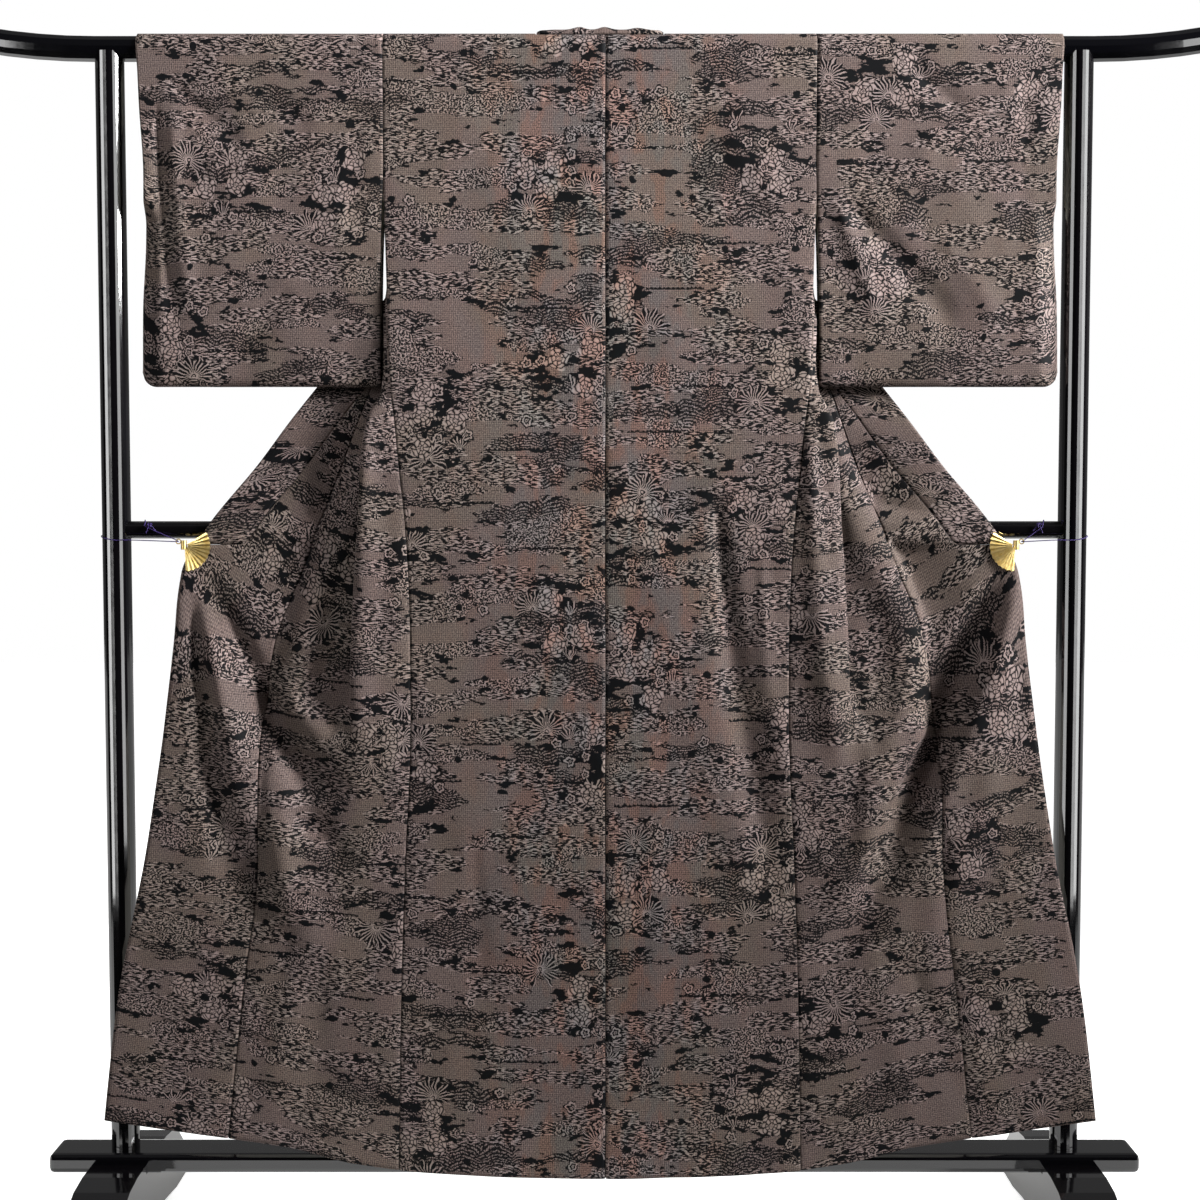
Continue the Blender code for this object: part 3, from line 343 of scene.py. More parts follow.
# Smaller creases, too fine for the solids
CREASES = (
    # from the left clip, and across the left front
    Fold(-1, 0.006, 0.016, ((0.582, 0.94), (0.572, 0.85), (0.557, 0.765), (0.5475, 0.625), (0.535, 0.5))),
    Fold(-1, -0.006, 0.018, ((0.571, 0.955), (0.534, 0.765), (0.492, 0.671), (0.46, 0.56))),
    Fold(-1, 0.015, 0.022, ((0.49, 0.8), (0.4545, 0.737), (0.4266, 0.685), (0.3896, 0.653),
        (0.35, 0.615))),
    Fold(-1, -0.01, 0.024, ((0.44, 0.78), (0.405, 0.735), (0.37, 0.7))),
    Fold(-1, 0.005, 0.018, ((0.45, 0.62), (0.3896, 0.579), (0.35, 0.53))),
    Fold(-1, -0.0085, 0.03, ((0.322, 1.2), (0.336, 1.06), (0.342, 0.93), (0.346, 0.77), (0.352, 0.64))),
    Fold(-1, 0.0016, 0.012, ((0.33, 1.16), (0.345, 0.96), (0.35, 0.8))),
    Fold(-1, -0.0024, 0.014, ((0.282, 1.05), (0.286, 0.86), (0.3, 0.64))),
    Fold(-1, 0.0014, 0.014, ((0.12, 1.58), (0.21, 1.47), (0.27, 1.38))),
    Fold(-1, -0.0012, 0.016, ((0.06, 1.64), (0.13, 1.56), (0.23, 1.5))),
    Fold(-1, 0.0018, 0.018, ((0.18, 0.62), (0.17, 0.4), (0.185, 0.18))),
    Fold(-1, -0.003, 0.022, ((0.42, 0.45), (0.455, 0.28), (0.48, 0.13))),
    Fold(-1, 0.003, 0.02, ((0.385, 0.44), (0.405, 0.28), (0.415, 0.14))),
    # from the right clip, and across the right front
    Fold(1, 0.013, 0.03, ((0.575, 0.96), (0.555, 0.928), (0.513, 0.835), (0.475, 0.751), (0.439, 0.649),
        (0.383, 0.532))),
    Fold(1, -0.015, 0.028, ((0.59, 0.96), (0.58, 0.895), (0.552, 0.824), (0.522, 0.734), (0.497, 0.681),
        (0.472, 0.62), (0.42, 0.5))),
    Fold(1, 0.0032, 0.014, ((0.478, 0.64), (0.485, 0.564), (0.4935, 0.407), (0.515, 0.25))),
    Fold(1, -0.008, 0.017, ((0.292, 1.19), (0.296, 1.06), (0.305, 0.9), (0.322, 0.76), (0.345, 0.64))),
    Fold(1, 0.0016, 0.012, ((0.328, 1.14), (0.344, 0.98), (0.35, 0.79))),
    Fold(1, -0.003, 0.015, ((0.225, 1.0), (0.235, 0.8), (0.285, 0.56))),
    Fold(1, 0.0014, 0.014, ((0.1, 1.6), (0.19, 1.5), (0.265, 1.4))),
    Fold(1, -0.0016, 0.02, ((0.06, 0.74), (0.085, 0.48), (0.075, 0.22))),
    Fold(1, 0.003, 0.02, ((0.43, 0.42), (0.49, 0.27), (0.54, 0.15))),
    Fold(1, -0.003, 0.02, ((0.385, 0.43), (0.42, 0.28), (0.45, 0.14))),
)
SLEEVE_CREASES = (
    Fold(-1, 0.005, 0.014, ((0.605, 1.64), (0.49, 1.535))),
    Fold(-1, -0.0045, 0.015, ((0.565, 1.67), (0.455, 1.59))),
    Fold(-1, -0.0025, 0.014, ((0.4, 1.4), (0.5, 1.29), (0.56, 1.24))),
    Fold(-1, 0.002, 0.012, ((0.345, 1.64), (0.34, 1.5), (0.35, 1.38))),
    Fold(-1, 0.006, 0.01, ((0.618, 1.62), (0.614, 1.52), (0.606, 1.4), (0.592, 1.26))),
    Fold(-1, -0.0045, 0.013, ((0.596, 1.62), (0.59, 1.5), (0.578, 1.37), (0.56, 1.26))),
    Fold(1, -0.0045, 0.013, ((0.325, 1.48), (0.4, 1.28))),
    Fold(1, 0.0045, 0.013, ((0.42, 1.668), (0.515, 1.585))),
    Fold(1, 0.002, 0.012, ((0.59, 1.64), (0.595, 1.5), (0.57, 1.36))),
    Fold(1, -0.0022, 0.014, ((0.47, 1.43), (0.56, 1.3))),
)
HIDDEN_SLEEVE_FOLDS = (
    Fold(-1, -0.004, 0.02, ((0.35, 1.6), (0.46, 1.44), (0.54, 1.26))),
    Fold(-1, 0.0035, 0.016, ((0.58, 1.64), (0.45, 1.52))),
    Fold(1, -0.004, 0.018, ((0.6, 1.62), (0.48, 1.5), (0.36, 1.44))),
    Fold(1, 0.0035, 0.02, ((0.4, 1.4), (0.52, 1.26))),
)
# Slow unevenness: period sideways, period upward, phase, depth
RIPPLES = (
    (0.210, 0.470, 0.3, 0.0009),
    (0.118, 0.330, 1.9, 0.0006),
    (0.067, 0.210, 4.1, 0.0004),
    (0.310, 0.160, 2.6, 0.0005),
)


# How the cloth falls
def ease(value: Any) -> Any:
    """Ease from 0 to 1."""
    value = np.clip(value, 0.0, 1.0)
    return value * value * (3.0 - 2.0 * value)


def read_column(rows: Sequence[tuple], column: str, place: float) -> float:
    """Read a column of a table at one value of its first, with no overshoot.

    Args:
        rows: the table, in rising order of its first column.
        column: the column's name.
        place: the value of the first column.

    Returns:
        The value there.
    """
    keys = [row[0] for row in rows]
    values = [getattr(row, column) for row in rows]
    if place <= keys[0]:
        return values[0]
    if place >= keys[-1]:
        return values[-1]
    index = int(np.searchsorted(keys, place, side="right")) - 1

    def slope(i: int) -> float:
        """Return the slope of one interval."""
        return (values[i + 1] - values[i]) / (keys[i + 1] - keys[i])

    def tangent(i: int) -> float:
        """Return the slope at one key, none where the values turn back.

        Args:
            i: the key's number.

        Returns:
            The slope.
        """
        if i == 0:
            return slope(0)
        if i == len(values) - 1:
            return slope(i - 1)
        before, after = slope(i - 1), slope(i)
        return 0.0 if before * after <= 0.0 else 2.0 * before * after / (before + after)

    span = keys[index + 1] - keys[index]
    t = (place - keys[index]) / span
    eased = values[index] + t * t * (3.0 - 2.0 * t) * (values[index + 1] - values[index])
    return eased + span * t * (1.0 - t) * ((1.0 - t) * tangent(index) - t * tangent(index + 1))


def follow(path: Sequence[Place], out: Array, z: Array) -> tuple[Array, Array]:
    """Measure points against a path.

    Args:
        path: places (out, z), one after another.
        out: distances from the garment's middle.
        z: heights.

    Returns:
        Distance from the path, negative on its right, and the share of the path walked.
    """
    path = np.array(path)
    steps = np.linalg.norm(np.diff(path, axis=0), axis=1)
    signed = np.full(np.shape(out), np.inf)
    walk = np.zeros(np.shape(out))
    walked = 0.0
    for start, end, step in zip(path[:-1], path[1:], steps):
        lead = (end - start) / step
        along = np.clip((out - start[0]) * lead[0] + (z - start[1]) * lead[1], 0.0, step)
        across = (out - start[0] - along * lead[0], z - start[1] - along * lead[1])
        distance = np.hypot(*across)
        outward = lead[0] * across[1] - lead[1] * across[0]
        closer = distance < abs(signed)
        signed = np.where(closer, np.where(outward > 0.0, distance, -distance), signed)
        walk = np.where(closer, (walked + along) / steps.sum(), walk)
        walked += step
    return signed, walk


def push(folds: Sequence[Fold], side: Side, out: Array, z: Array) -> Array:
    """Return how far folds move the cloth along Y.

    Args:
        folds: troughs and ridges.
        side: the side that the points are on.
        out: distances from the garment's middle.
        z: heights.

    Returns:
        One distance for each point.
    """
    out, z = np.broadcast_arrays(np.asarray(out, float), np.asarray(z, float))
    total = np.zeros(out.shape)
    for fold in folds:
        if fold.side == side.value:
            away, walk = follow(fold.path, out, z)
            width = fold.width * (FOLD_NARROW + (1.0 - FOLD_NARROW) * ease(walk / FOLD_WIDENS))
            fade = ease(walk / FOLD_FADE_IN) * ease((1.0 - walk) / FOLD_FADE_OUT)
            total += fold.depth * fade * np.exp(-(away / width) ** 2)
    return total


def roll(rolls: Sequence[Roll], side: Side, out: Array, z: Array) -> Array:
    """Return how far rolled folds move the cloth along Y.

    Args:
        rolls: folds that stand proud on their inner side and sink on their outer side.
        side: the side that the points are on.
        out: distances from the garment's middle.
        z: heights.

    Returns:
        One distance for each point.
    """
    total = np.zeros(np.shape(out))
    for fold in rolls:
        if fold.side == side.value:
            away, walk = follow(fold.path, out, z)
            fade = ease(walk / ROLL_FADE_IN) * ease((1.0 - walk) / ROLL_FADE_OUT)
            step = 0.5 + 0.5 * away / np.hypot(away, fold.width)
            valley = step * np.exp(-(away / fold.reach) ** 2)
            crest = np.exp(-((away / fold.reach + CREST_PLACE) / CREST_WIDTH) ** 2)
            total += fold.depth * fade * (valley - CREST_HEIGHT * crest)
    return total


def ripple(side: Side, out: Array, z: Array) -> Array:
    """Return the slow unevenness of hanging cloth along Y, none at the rail.

    Args:
        side: the side that the points are on.
        out: distances from the garment's middle.
        z: heights.

    Returns:
        One distance for each point.
    """
    total = np.zeros(np.broadcast(out, z).shape)
    for across, up, phase, depth in RIPPLES:
        shift = phase + side.value
        total = total + depth * np.sin(2 * pi * out / across + shift) * np.sin(
            2 * pi * z / up + 2.0 * shift + 3.0 * out)
    return total * ease((RAIL_Z - RIPPLE_START - z) / RIPPLE_GROWTH)


def rest_on_crossbar(y: Array, out: Array, z: Array) -> Array:
    """Keep a front's folds on the near side of the crossbar.

    Args:
        y: where the folds put each point along Y.
        out: distances from the garment's middle.
        z: heights.

    Returns:
        Where each point may lie along Y.
    """
    past = np.maximum(abs(z - CROSSBAR_Z) - CROSSBAR_HALF, 0.0)
    nearest = -CROSSBAR_CLEAR + CROSSBAR_SLOPE * past
    over = (y - nearest) / CROSSBAR_EASE
    held = nearest - CROSSBAR_EASE * np.logaddexp(0.0, -over)
    return np.where(out > CROSSBAR_FREE_OUT, y, held)


def hem_rise(line: str, level: float) -> float:
    """Return how far a row is lifted at one line of the section."""
    fade = min(max((HEM_RISE_TOP - level) / (HEM_RISE_TOP - HEM_Z), 0.0), 1.0)
    return HEM_RISE[line] * fade ** HEM_RISE_POWER


def turned_below_rail(z: Array) -> Array:
    """Return 1 at heights where seams turn inward and 0 at the rail, where they lie flat."""
    return ease((RAIL_Z - SEAM_TURN_START - z) / SEAM_TURN_GROWTH)


def to_world(side: Side, out: Array, y: Array, z: Array) -> Array:
    """Return world places of points measured from the garment's middle."""
    out, y, z = np.broadcast_arrays(out, y, z)
    return np.stack((MIDDLE + side.value * out, y, z), axis=-1).astype(float)


def bend(start: Sequence[float], start_turn: float, end: Sequence[float], end_turn: float,
         radius: float) -> Array:
    """Return points on a cubic between two places with given headings.

    Args:
        start: first place (out, y, z).
        start_turn: heading there in degrees, 0 outward, 90 away from the viewer.
        end: last place.
        end_turn: heading there.
        radius: how round a sharp turn is.

    Returns:
        The points, one row each.
    """
    chord = np.array(end[:2]) - np.array(start[:2])
    length = np.hypot(chord[0], chord[1])
    heading = np.arctan2(chord[1], chord[0])
    handles = []
    for turn in (start_turn, end_turn):
        apart = sin(radians(turn) - heading) ** 2
        reach = (TURN_HANDLE * length * (1.0 - apart)
                 + sqrt(TURN_CORNER * radius * length) * apart)
        handles.append(reach * np.array((cos(radians(turn)), sin(radians(turn)))))
    t = np.linspace(0.0, 1.0, SECTION_POINTS + 1)[:, None]
    first, last = np.array(start[:2]), np.array(end[:2])
    flat = ((1 - t) ** 3 * first + 3 * (1 - t) ** 2 * t * (first + handles[0])
            + 3 * (1 - t) * t ** 2 * (last - handles[1]) + t ** 3 * last)
    return np.hstack((flat, start[2] + t * (end[2] - start[2])))


class FrontRow:
    """One level of a front, from the side seam to the free edge."""

    def __init__(self, side: Side, level: float) -> None:
        """Work out the section at one level.

        Args:
            side: the front's side.
            level: height of the row before the hem lifts it.
        """
        self.side = side
        self.level = level
        places, turns = [], []
        for line in ("side", "turn1", "turn2", "edge"):
            z = level + hem_rise(line, level)
            seam_closed = line == "side" and z < OPEN_Z - SEAM
            y = read_column(SECTIONS, "back_y" if seam_closed else line + "_y", z)
            places.append((read_column(SECTIONS, line, z), y, z))
            turns.append(read_column(SECTIONS, line + "_turn", z) if line != "edge" else 0.0)
        # After the second turn the cloth lies flat again before it runs to the edge.
        start, end = places[2:]
        reach = min(TURN_REACH, TURN_REACH_SHARE * (end[0] - start[0]))
        share = reach / (end[0] - start[0])
        rise = TURN_RISE * sin(radians(turns[2])) ** 2 * (1.0 - share)
        places.insert(3, (start[0] + reach, start[1] + (end[1] - start[1]) * share + rise,
                          start[2] + (end[2] - start[2]) * share))
        turns.insert(3, degrees(atan2(end[1] - places[3][1], end[0] - places[3][0])))
        turns[4] = turns[3]
        loose = float(ease((level - OPEN_Z) / (SLEEVE_SEAM_Z - OPEN_Z)))
        radius = TURN_RADIUS + (NECK_TURN_RADIUS - TURN_RADIUS) * loose
        stretches = [bend(places[0], turns[0], places[1], turns[1], TURN_RADIUS)]
        stretches += [bend(places[i], turns[i], places[i + 1], turns[i + 1], radius)[1:]
                      for i in (1, 2, 3)]
        self.points = np.vstack(stretches)
        steps = np.hypot(np.diff(self.points[:, 0]), np.diff(self.points[:, 1]))
        self.run = np.concatenate(((0.0,), np.cumsum(steps)))
        self.turn1 = self.run[SECTION_POINTS]
        self.turn2 = self.run[2 * SECTION_POINTS]
        self.end = self.run[-1]
        self.collar = self.end - COLLAR_ACROSS
        self.slack = SEAM / 2 + ROLL_SLACK * float(ease((level - OPEN_Z) / ROLL_SLACK_RISE))
        self.seam = self.collar
        if level <= TIP_Z:
            out = read_column(SECTIONS, "seam", level + hem_rise("edge", level))
            outer = slice(2 * SECTION_POINTS, None)
            self.seam = float(np.interp(out, self.points[outer, 0], self.run[outer]))
            self.seam = min(self.seam, self.collar - TIP_WIDTH)

    def at(self, runs: Array) -> Array:
        """Return points of the row, with its folds.

        Args:
            runs: how far along the row each point lies.

        Returns:
            The world points.
        """
        out, y, z = (np.interp(runs, self.run, self.points[:, axis]) for axis in range(3))
        y = y + push(FOLDS + CREASES, self.side, out, z) + ripple(self.side, out, z)
        y = y + roll(ROLLS, self.side, out, z) * ease(
            (runs - self.turn1) / ROLL_FROM_TURN)
        y = rest_on_crossbar(y, out, z)
        slit = np.interp(self.level, SLIT_LEVELS, (0.0, SLIT_DEPTH, SLIT_DEPTH, 0.0))
        inner = ease((self.turn2 - runs) / (self.turn2 - self.turn1))
        y = y + slit * ease(runs / SLIT_EDGE) * inner
        return to_world(self.side, out, y, z)


@dataclass
class Fall:
    """How both fronts and the back hang, worked out once for each level."""

    levels: Array = field(default_factory=lambda: Fall.make_levels())
    rows: dict[tuple[Side, float], FrontRow] = field(default_factory=dict)

    @staticmethod
    def make_levels() -> Array:
        """Return the heights of the rows, hem to shoulder, with the seams' own ends."""
        stops = (HEM_Z, COLLAR_END_Z - SEAM, TIP_Z, OPEN_Z, TURNED_Z, SLEEVE_SEAM_Z, TOP_ROW_Z)
        levels = [HEM_Z]
        for low, high in zip(stops[:-1], stops[1:]):
            count = max(1, round((high - low) / ROW))
            levels += list(np.linspace(low, high, count + 1)[1:])
        return np.array(levels)

    def row(self, side: Side, level: float) -> FrontRow:
        """Return one front's row at one level."""
        key = (side, float(level))
        if key not in self.rows:
            self.rows[key] = FrontRow(side, float(level))
        return self.rows[key]


# Meshes
def show(name: str, data: bpy.types.ID) -> bpy.types.Object:
    """Put a mesh, lamp or camera in the scene as an object."""
    item = bpy.data.objects.new(name, data)
    bpy.context.scene.collection.objects.link(item)
    return item


def turn_in(edge: Array, near: Array, outward: float, turned: Any, pressed: Any = 0.0,
            thickness: float = CLOTH) -> list[Array]:
    """Return the lines of points that turn a panel's edge inward along a seam.

    Args:
        edge: the panel's edge, one point after another.
        near: the line of points beside it.
        outward: 1 where edge direction times travel points to the inner side.
        turned: for each point, 1 where the edge turns in and 0 where it is flat.
        pressed: for each point, 1 where the allowance is pressed across the seam.
        thickness: the wall's thickness.

    Returns:
        Lines of points, the last one at the very edge.
    """
    ahead = edge - near
    apart = np.linalg.norm(ahead, axis=1, keepdims=True)
    ahead /= apart
    # Where the next line of points is close, the turn starts closer to the seam.
    room = (ROOM_SHARE * apart / thickness - MEETING) / (SHORT_ALLOWANCE[0][0] - MEETING)
    room = np.clip(room, 0.0, 1.0)
    inner = np.cross(ahead, np.gradient(edge, axis=0)) * outward
    inner /= np.linalg.norm(inner, axis=1, keepdims=True)
    share = np.broadcast_to(np.asarray(turned, float), len(edge))[:, None]
    across = np.broadcast_to(np.asarray(pressed, float), len(edge))[:, None]
    lines = []
    for short, long in zip(SHORT_ALLOWANCE, PRESSED_ALLOWANCE):
        away = short[0] + (long[0] - short[0]) * across
        away = np.where(away > MEETING, MEETING + (away - MEETING) * room, away)
        away = away * thickness - SEAM / 2
        sink = (short[1] + (long[1] - short[1]) * across) * thickness
        lines.append(edge + (inner * sink - ahead * away) * share)
    return lines


@dataclass
class Panel:
    """A grid of points with the place of each on the flat cloth."""

    points: Array
    flat: Array
    flip: bool = False
    closed: bool = False
    allowance: Optional[Array] = None

    def make(self, name: str, thickness: float, finishes: Sequence[bpy.types.Material],
             lined: bool = True) -> bpy.types.Object:
        """Make a wall of even thickness, outer cloth first and lining inside.

        Args:
            name: the piece's name.
            thickness: both layers together.
            finishes: the outer cloth's material, and the lining's.
            lined: whether the inner side shows the lining.

        Returns:
            The finished object.
        """
        columns = self.points.shape[1]
        there = ~np.isnan(self.points[..., 0])
        number = np.where(there, np.cumsum(there).reshape(there.shape) - 1, -1)
        across = np.arange(columns if self.closed else columns - 1)
        after = (across + 1) % columns
        low, high = number[:-1], number[1:]
        quads = np.stack((low[:, across], low[:, after], high[:, after], high[:, across]), -1)
        corners = np.stack((self.flat[:-1][:, across], self.flat[:-1][:, after],
                            self.flat[1:][:, after], self.flat[1:][:, across]), 2)
        if self.closed:
            # The last column meets the first again, one turn farther along.
            end = 2 * self.flat[:, -1] - self.flat[:, -2]
            corners[:, -1, 1] = end[:-1]
            corners[:, -1, 2] = end[1:]
        whole = (quads >= 0).all(-1)
        quads, corners = quads[whole], corners[whole]
        slots = np.zeros(len(quads), int)
        if self.allowance is not None:
            near = self.allowance[:-1] | self.allowance[1:]
            slots[(near[:, across] | near[:, after])[whole]] = SELVAGE_SLOT
        if self.flip:
            quads, corners = quads[:, ::-1], corners[:, ::-1]
        used = np.unique(quads)
        place = np.full(there.sum(), -1)
        place[used] = np.arange(len(used))
        mesh = bpy.data.meshes.new(name)
        mesh.from_pydata(self.points[there][used].tolist(), [], place[quads].tolist())
        mesh.polygons.foreach_set("material_index", slots)
        layer = mesh.uv_layers.new(name="cut")
        layer.data.foreach_set("uv", corners.reshape(-1, 2).astype(np.float32).ravel())
        bm = bmesh.new()
        bm.from_mesh(mesh)
        bmesh.ops.remove_doubles(bm, verts=bm.verts, dist=WELD)
        bm.to_mesh(mesh)
        bm.free()
        mesh.shade_smooth()
        # The allowance has slots of its own, which keep its faces apart from the wall's.
        for finish in (*finishes, *finishes) if lined else finishes:
            mesh.materials.append(finish)
        item = show(name, mesh)
        wall = item.modifiers.new("Wall", "SOLIDIFY")
        wall.thickness = thickness
        wall.offset = 0.0
        if lined:
            wall.material_offset = 1
        log.info("%s: %d points", name, len(used))
        return item


# Shaders
class Value:
    """A socket that carries one number, used in plain expressions."""

    def __init__(self, graph: "Graph", socket: bpy.types.NodeSocket) -> None:
        """Wrap a socket."""
        self.graph = graph
        self.socket = socket

    def math(self, operation: str, *others: Number) -> "Value":
        """Return the result of one Math node on this value."""
        inputs = {index: other for index, other in enumerate((self, *others))}
        return self.graph.add("ShaderNodeMath", {"operation": operation}, inputs)

    def __add__(self, other: Number) -> "Value":
        """Add."""
        return self.math("ADD", other)

    __radd__ = __add__

    def __mul__(self, other: Number) -> "Value":
        """Multiply."""
        return self.math("MULTIPLY", other)

    __rmul__ = __mul__

    def __sub__(self, other: Number) -> "Value":
        """Subtract."""
        return self.math("SUBTRACT", other)

    def __rsub__(self, other: Number) -> "Value":
        """Subtract from a number."""
        return (self * -1.0) + other

    def __truediv__(self, other: Number) -> "Value":
        """Divide."""
        return self.math("DIVIDE", other)

    def __rtruediv__(self, other: Number) -> "Value":
        """Divide a number by this."""
        return self.math("POWER", -1.0) * other

    def __gt__(self, other: Number) -> "Value":
        """Return 1 where this is greater."""
        return self.math("GREATER_THAN", other)

    def __lt__(self, other: Number) -> "Value":
        """Return 1 where this is less."""
        return self.math("LESS_THAN", other)

    def __abs__(self) -> "Value":
        """Return the size without the sign."""
        return self.math("ABSOLUTE")

    def sine(self) -> "Value":
        """Return the sine."""
        return self.math("SINE")

    def part(self) -> "Value":
        """Return what is left over whole numbers."""
        return self.math("FRACT")

    def whole(self) -> "Value":
        """Return the whole number below."""
        return self.math("FLOOR")

    def either(self, other: Number) -> "Value":
        """Return the greater of two."""
        return self.math("MAXIMUM", other)

    def both(self, other: Number) -> "Value":
        """Return the lesser of two."""
        return self.math("MINIMUM", other)

    def between(self, low: float, high: float) -> "Value":
        """Return a smooth rise from 0 at low to 1 at high."""
        return self.graph.add("ShaderNodeMapRange", {"interpolation_type": "SMOOTHSTEP"},
                              {"Value": self, "From Min": low, "From Max": high})

    def fade(self, span: Place, ends: Place) -> "Value":
        """Return a straight change from one end to the other while this crosses a span."""
        return self.graph.add("ShaderNodeMapRange", None, {
            "Value": self, "From Min": span[0], "From Max": span[1],
            "To Min": ends[0], "To Max": ends[1]})

    def also(self, output: Any) -> "Value":
        """Return another output of the same node."""
        return Value(self.graph, self.socket.node.outputs[output])


class Graph:
    """The nodes of one material, or of the surroundings."""

    def __init__(self, owner: bpy.types.ID, shader: str) -> None:
        """Take up the nodes that a new material or world starts with.

        Args:
            owner: the material or world.
            shader: the name of its shader node.
        """
        owner.use_nodes = True
        self.owner = owner
        self.nodes = owner.node_tree.nodes
        self.links = owner.node_tree.links
        self.shader = self.nodes[shader]

    @classmethod
    def of_material(cls: type["Graph"], name: str) -> "Graph":
        """Start a material with its shader and nothing else."""
        return cls(bpy.data.materials.new(name), "Principled BSDF")

    def add(self, kind: str, settings: Optional[dict[str, Any]] = None,
            inputs: Optional[dict[Any, Any]] = None, output: Any = 0) -> Value:
        """Add one node.

        Args:
            kind: the node's type.
            settings: its properties, set first.
            inputs: values or links of its sockets, by name or number.
            output: the socket to return.

        Returns:
            The chosen output as a value.
        """
        node = self.nodes.new(kind)
        for name, value in (settings or {}).items():
            setattr(node, name, value)
        for name, value in (inputs or {}).items():
            self.feed(node.inputs[name], value)
        return Value(self, node.outputs[output])

    def feed(self, socket: bpy.types.NodeSocket, value: Any) -> None:
        """Link a value to a socket, or set it there."""
        if isinstance(value, Value):
            self.links.new(value.socket, socket)
        else:
            socket.default_value = value

    def vector(self, operation: str, *values: Any, output: Any = 0) -> Value:
        """Return the result of one Vector Math node."""
        return self.add("ShaderNodeVectorMath", {"operation": operation},
                        dict(enumerate(values)), output)

    def place(self) -> Value:
        """Return the place on the object."""
        return self.add("ShaderNodeTexCoord", None, None, "Object")

    def clouds(self, place: Value, waves: float, detail: float = 2.0,
               rough: float = 0.5) -> Value:
        """Return smooth noise in space, around 0.5.

        Args:
            place: the place.
            waves: for each unit.
            detail: how many finer layers it has.
            rough: how strong they are.

        Returns:
            The noise.
        """
        return self.add("ShaderNodeTexNoise", None, {
            "Vector": place, "Scale": waves, "Detail": detail, "Roughness": rough})

    def stretch(self, place: Value, scale: Sequence[float], shift: Place = (0.0, 0.0),
                turn: float = 0.0) -> Value:
        """Return a place turned, scaled and shifted.

        Args:
            place: the place.
            scale: two or three scales.
            shift: added across and along.
            turn: in radians, about the third axis.

        Returns:
            The new place.
        """
        return self.add("ShaderNodeMapping", None, {
            "Vector": place, "Location": (*shift, 0.0), "Rotation": (0.0, 0.0, turn),
            "Scale": (*scale, 1.0)[:3]})

    def noise(self, place: Value, detail: float = 0.0, rough: float = 0.5,
              colour: bool = False) -> Value:
        """Return smooth noise on a plane, around 0.5.

        Args:
            place: the place, one wave for each unit.
            detail: how many finer layers it has.
            rough: how strong they are.
            colour: whether to return three noises as a colour.

        Returns:
            The noise.
        """
        return self.add("ShaderNodeTexNoise", {"noise_dimensions": "2D"},
                        {"Vector": place, "Scale": 1.0, "Detail": detail, "Roughness": rough},
                        1 if colour else 0)

    def mix(self, factor: Any, first: Any, second: Any, blend: str = "MIX") -> Value:
        """Return a mix of two colours.

        Args:
            factor: how much of the second.
            first: a colour with its alpha, or a value.
            second: the same.
            blend: how they mix.

        Returns:
            The colour.
        """
        node = self.nodes.new("ShaderNodeMix")
        node.data_type = "RGBA"
        node.blend_type = blend
        self.feed(node.inputs[0], factor)
        self.feed(node.inputs[6], first)
        self.feed(node.inputs[7], second)
        return Value(self, node.outputs[2])

    def blend(self, factor: Value, first: Number, second: Number) -> Value:
        """Return a mix of two numbers.

        Args:
            factor: how much of the second.
            first: a number or value.
            second: the same.

        Returns:
            The number.
        """
        node = self.nodes.new("ShaderNodeMix")
        node.data_type = "FLOAT"
        for socket, value in zip(node.inputs[:1] + node.inputs[2:4], (factor, first, second)):
            self.feed(socket, value)
        return Value(self, node.outputs[0])

    def ramp(self, factor: Value, stops: Sequence[tuple[float, tuple]]) -> Value:
        """Return a colour from a ramp.

        Args:
            factor: the place on the ramp.
            stops: place and colour of each stop.

        Returns:
            The colour.
        """
        node = self.nodes.new("ShaderNodeValToRGB")
        elements = node.color_ramp.elements
        while len(elements) < len(stops):
            elements.new(1.0)
        for element, (position, colour) in zip(elements, stops):
            element.position = position
            element.color = (*colour, 1.0)
        self.feed(node.inputs[0], factor)
        return Value(self, node.outputs[0])

    def bump(self, height: Value, distance: float, strength: float) -> Value:
        """Return a normal raised by a height."""
        return self.add("ShaderNodeBump", None, {
            "Height": height, "Distance": distance, "Strength": strength})

    def finish(self, **sockets: Any) -> bpy.types.ID:
        """Feed the shader's sockets, given with _ for spaces, and return the owner."""
        for name, value in sockets.items():
            self.feed(self.shader.inputs[name.replace("_", " ")], value)
        return self.owner


def shade(colour: Sequence[float], share: Any = 1.0) -> tuple[float, ...]:
    """Return a colour times a share, or three of them, with its alpha."""
    return (*(np.array(colour) * share).tolist(), 1.0)


class Motif(NamedTuple):
    """Polar place inside one scattered flower."""

    radius: Value
    angle: Value
    chance: Value
    centre: Value


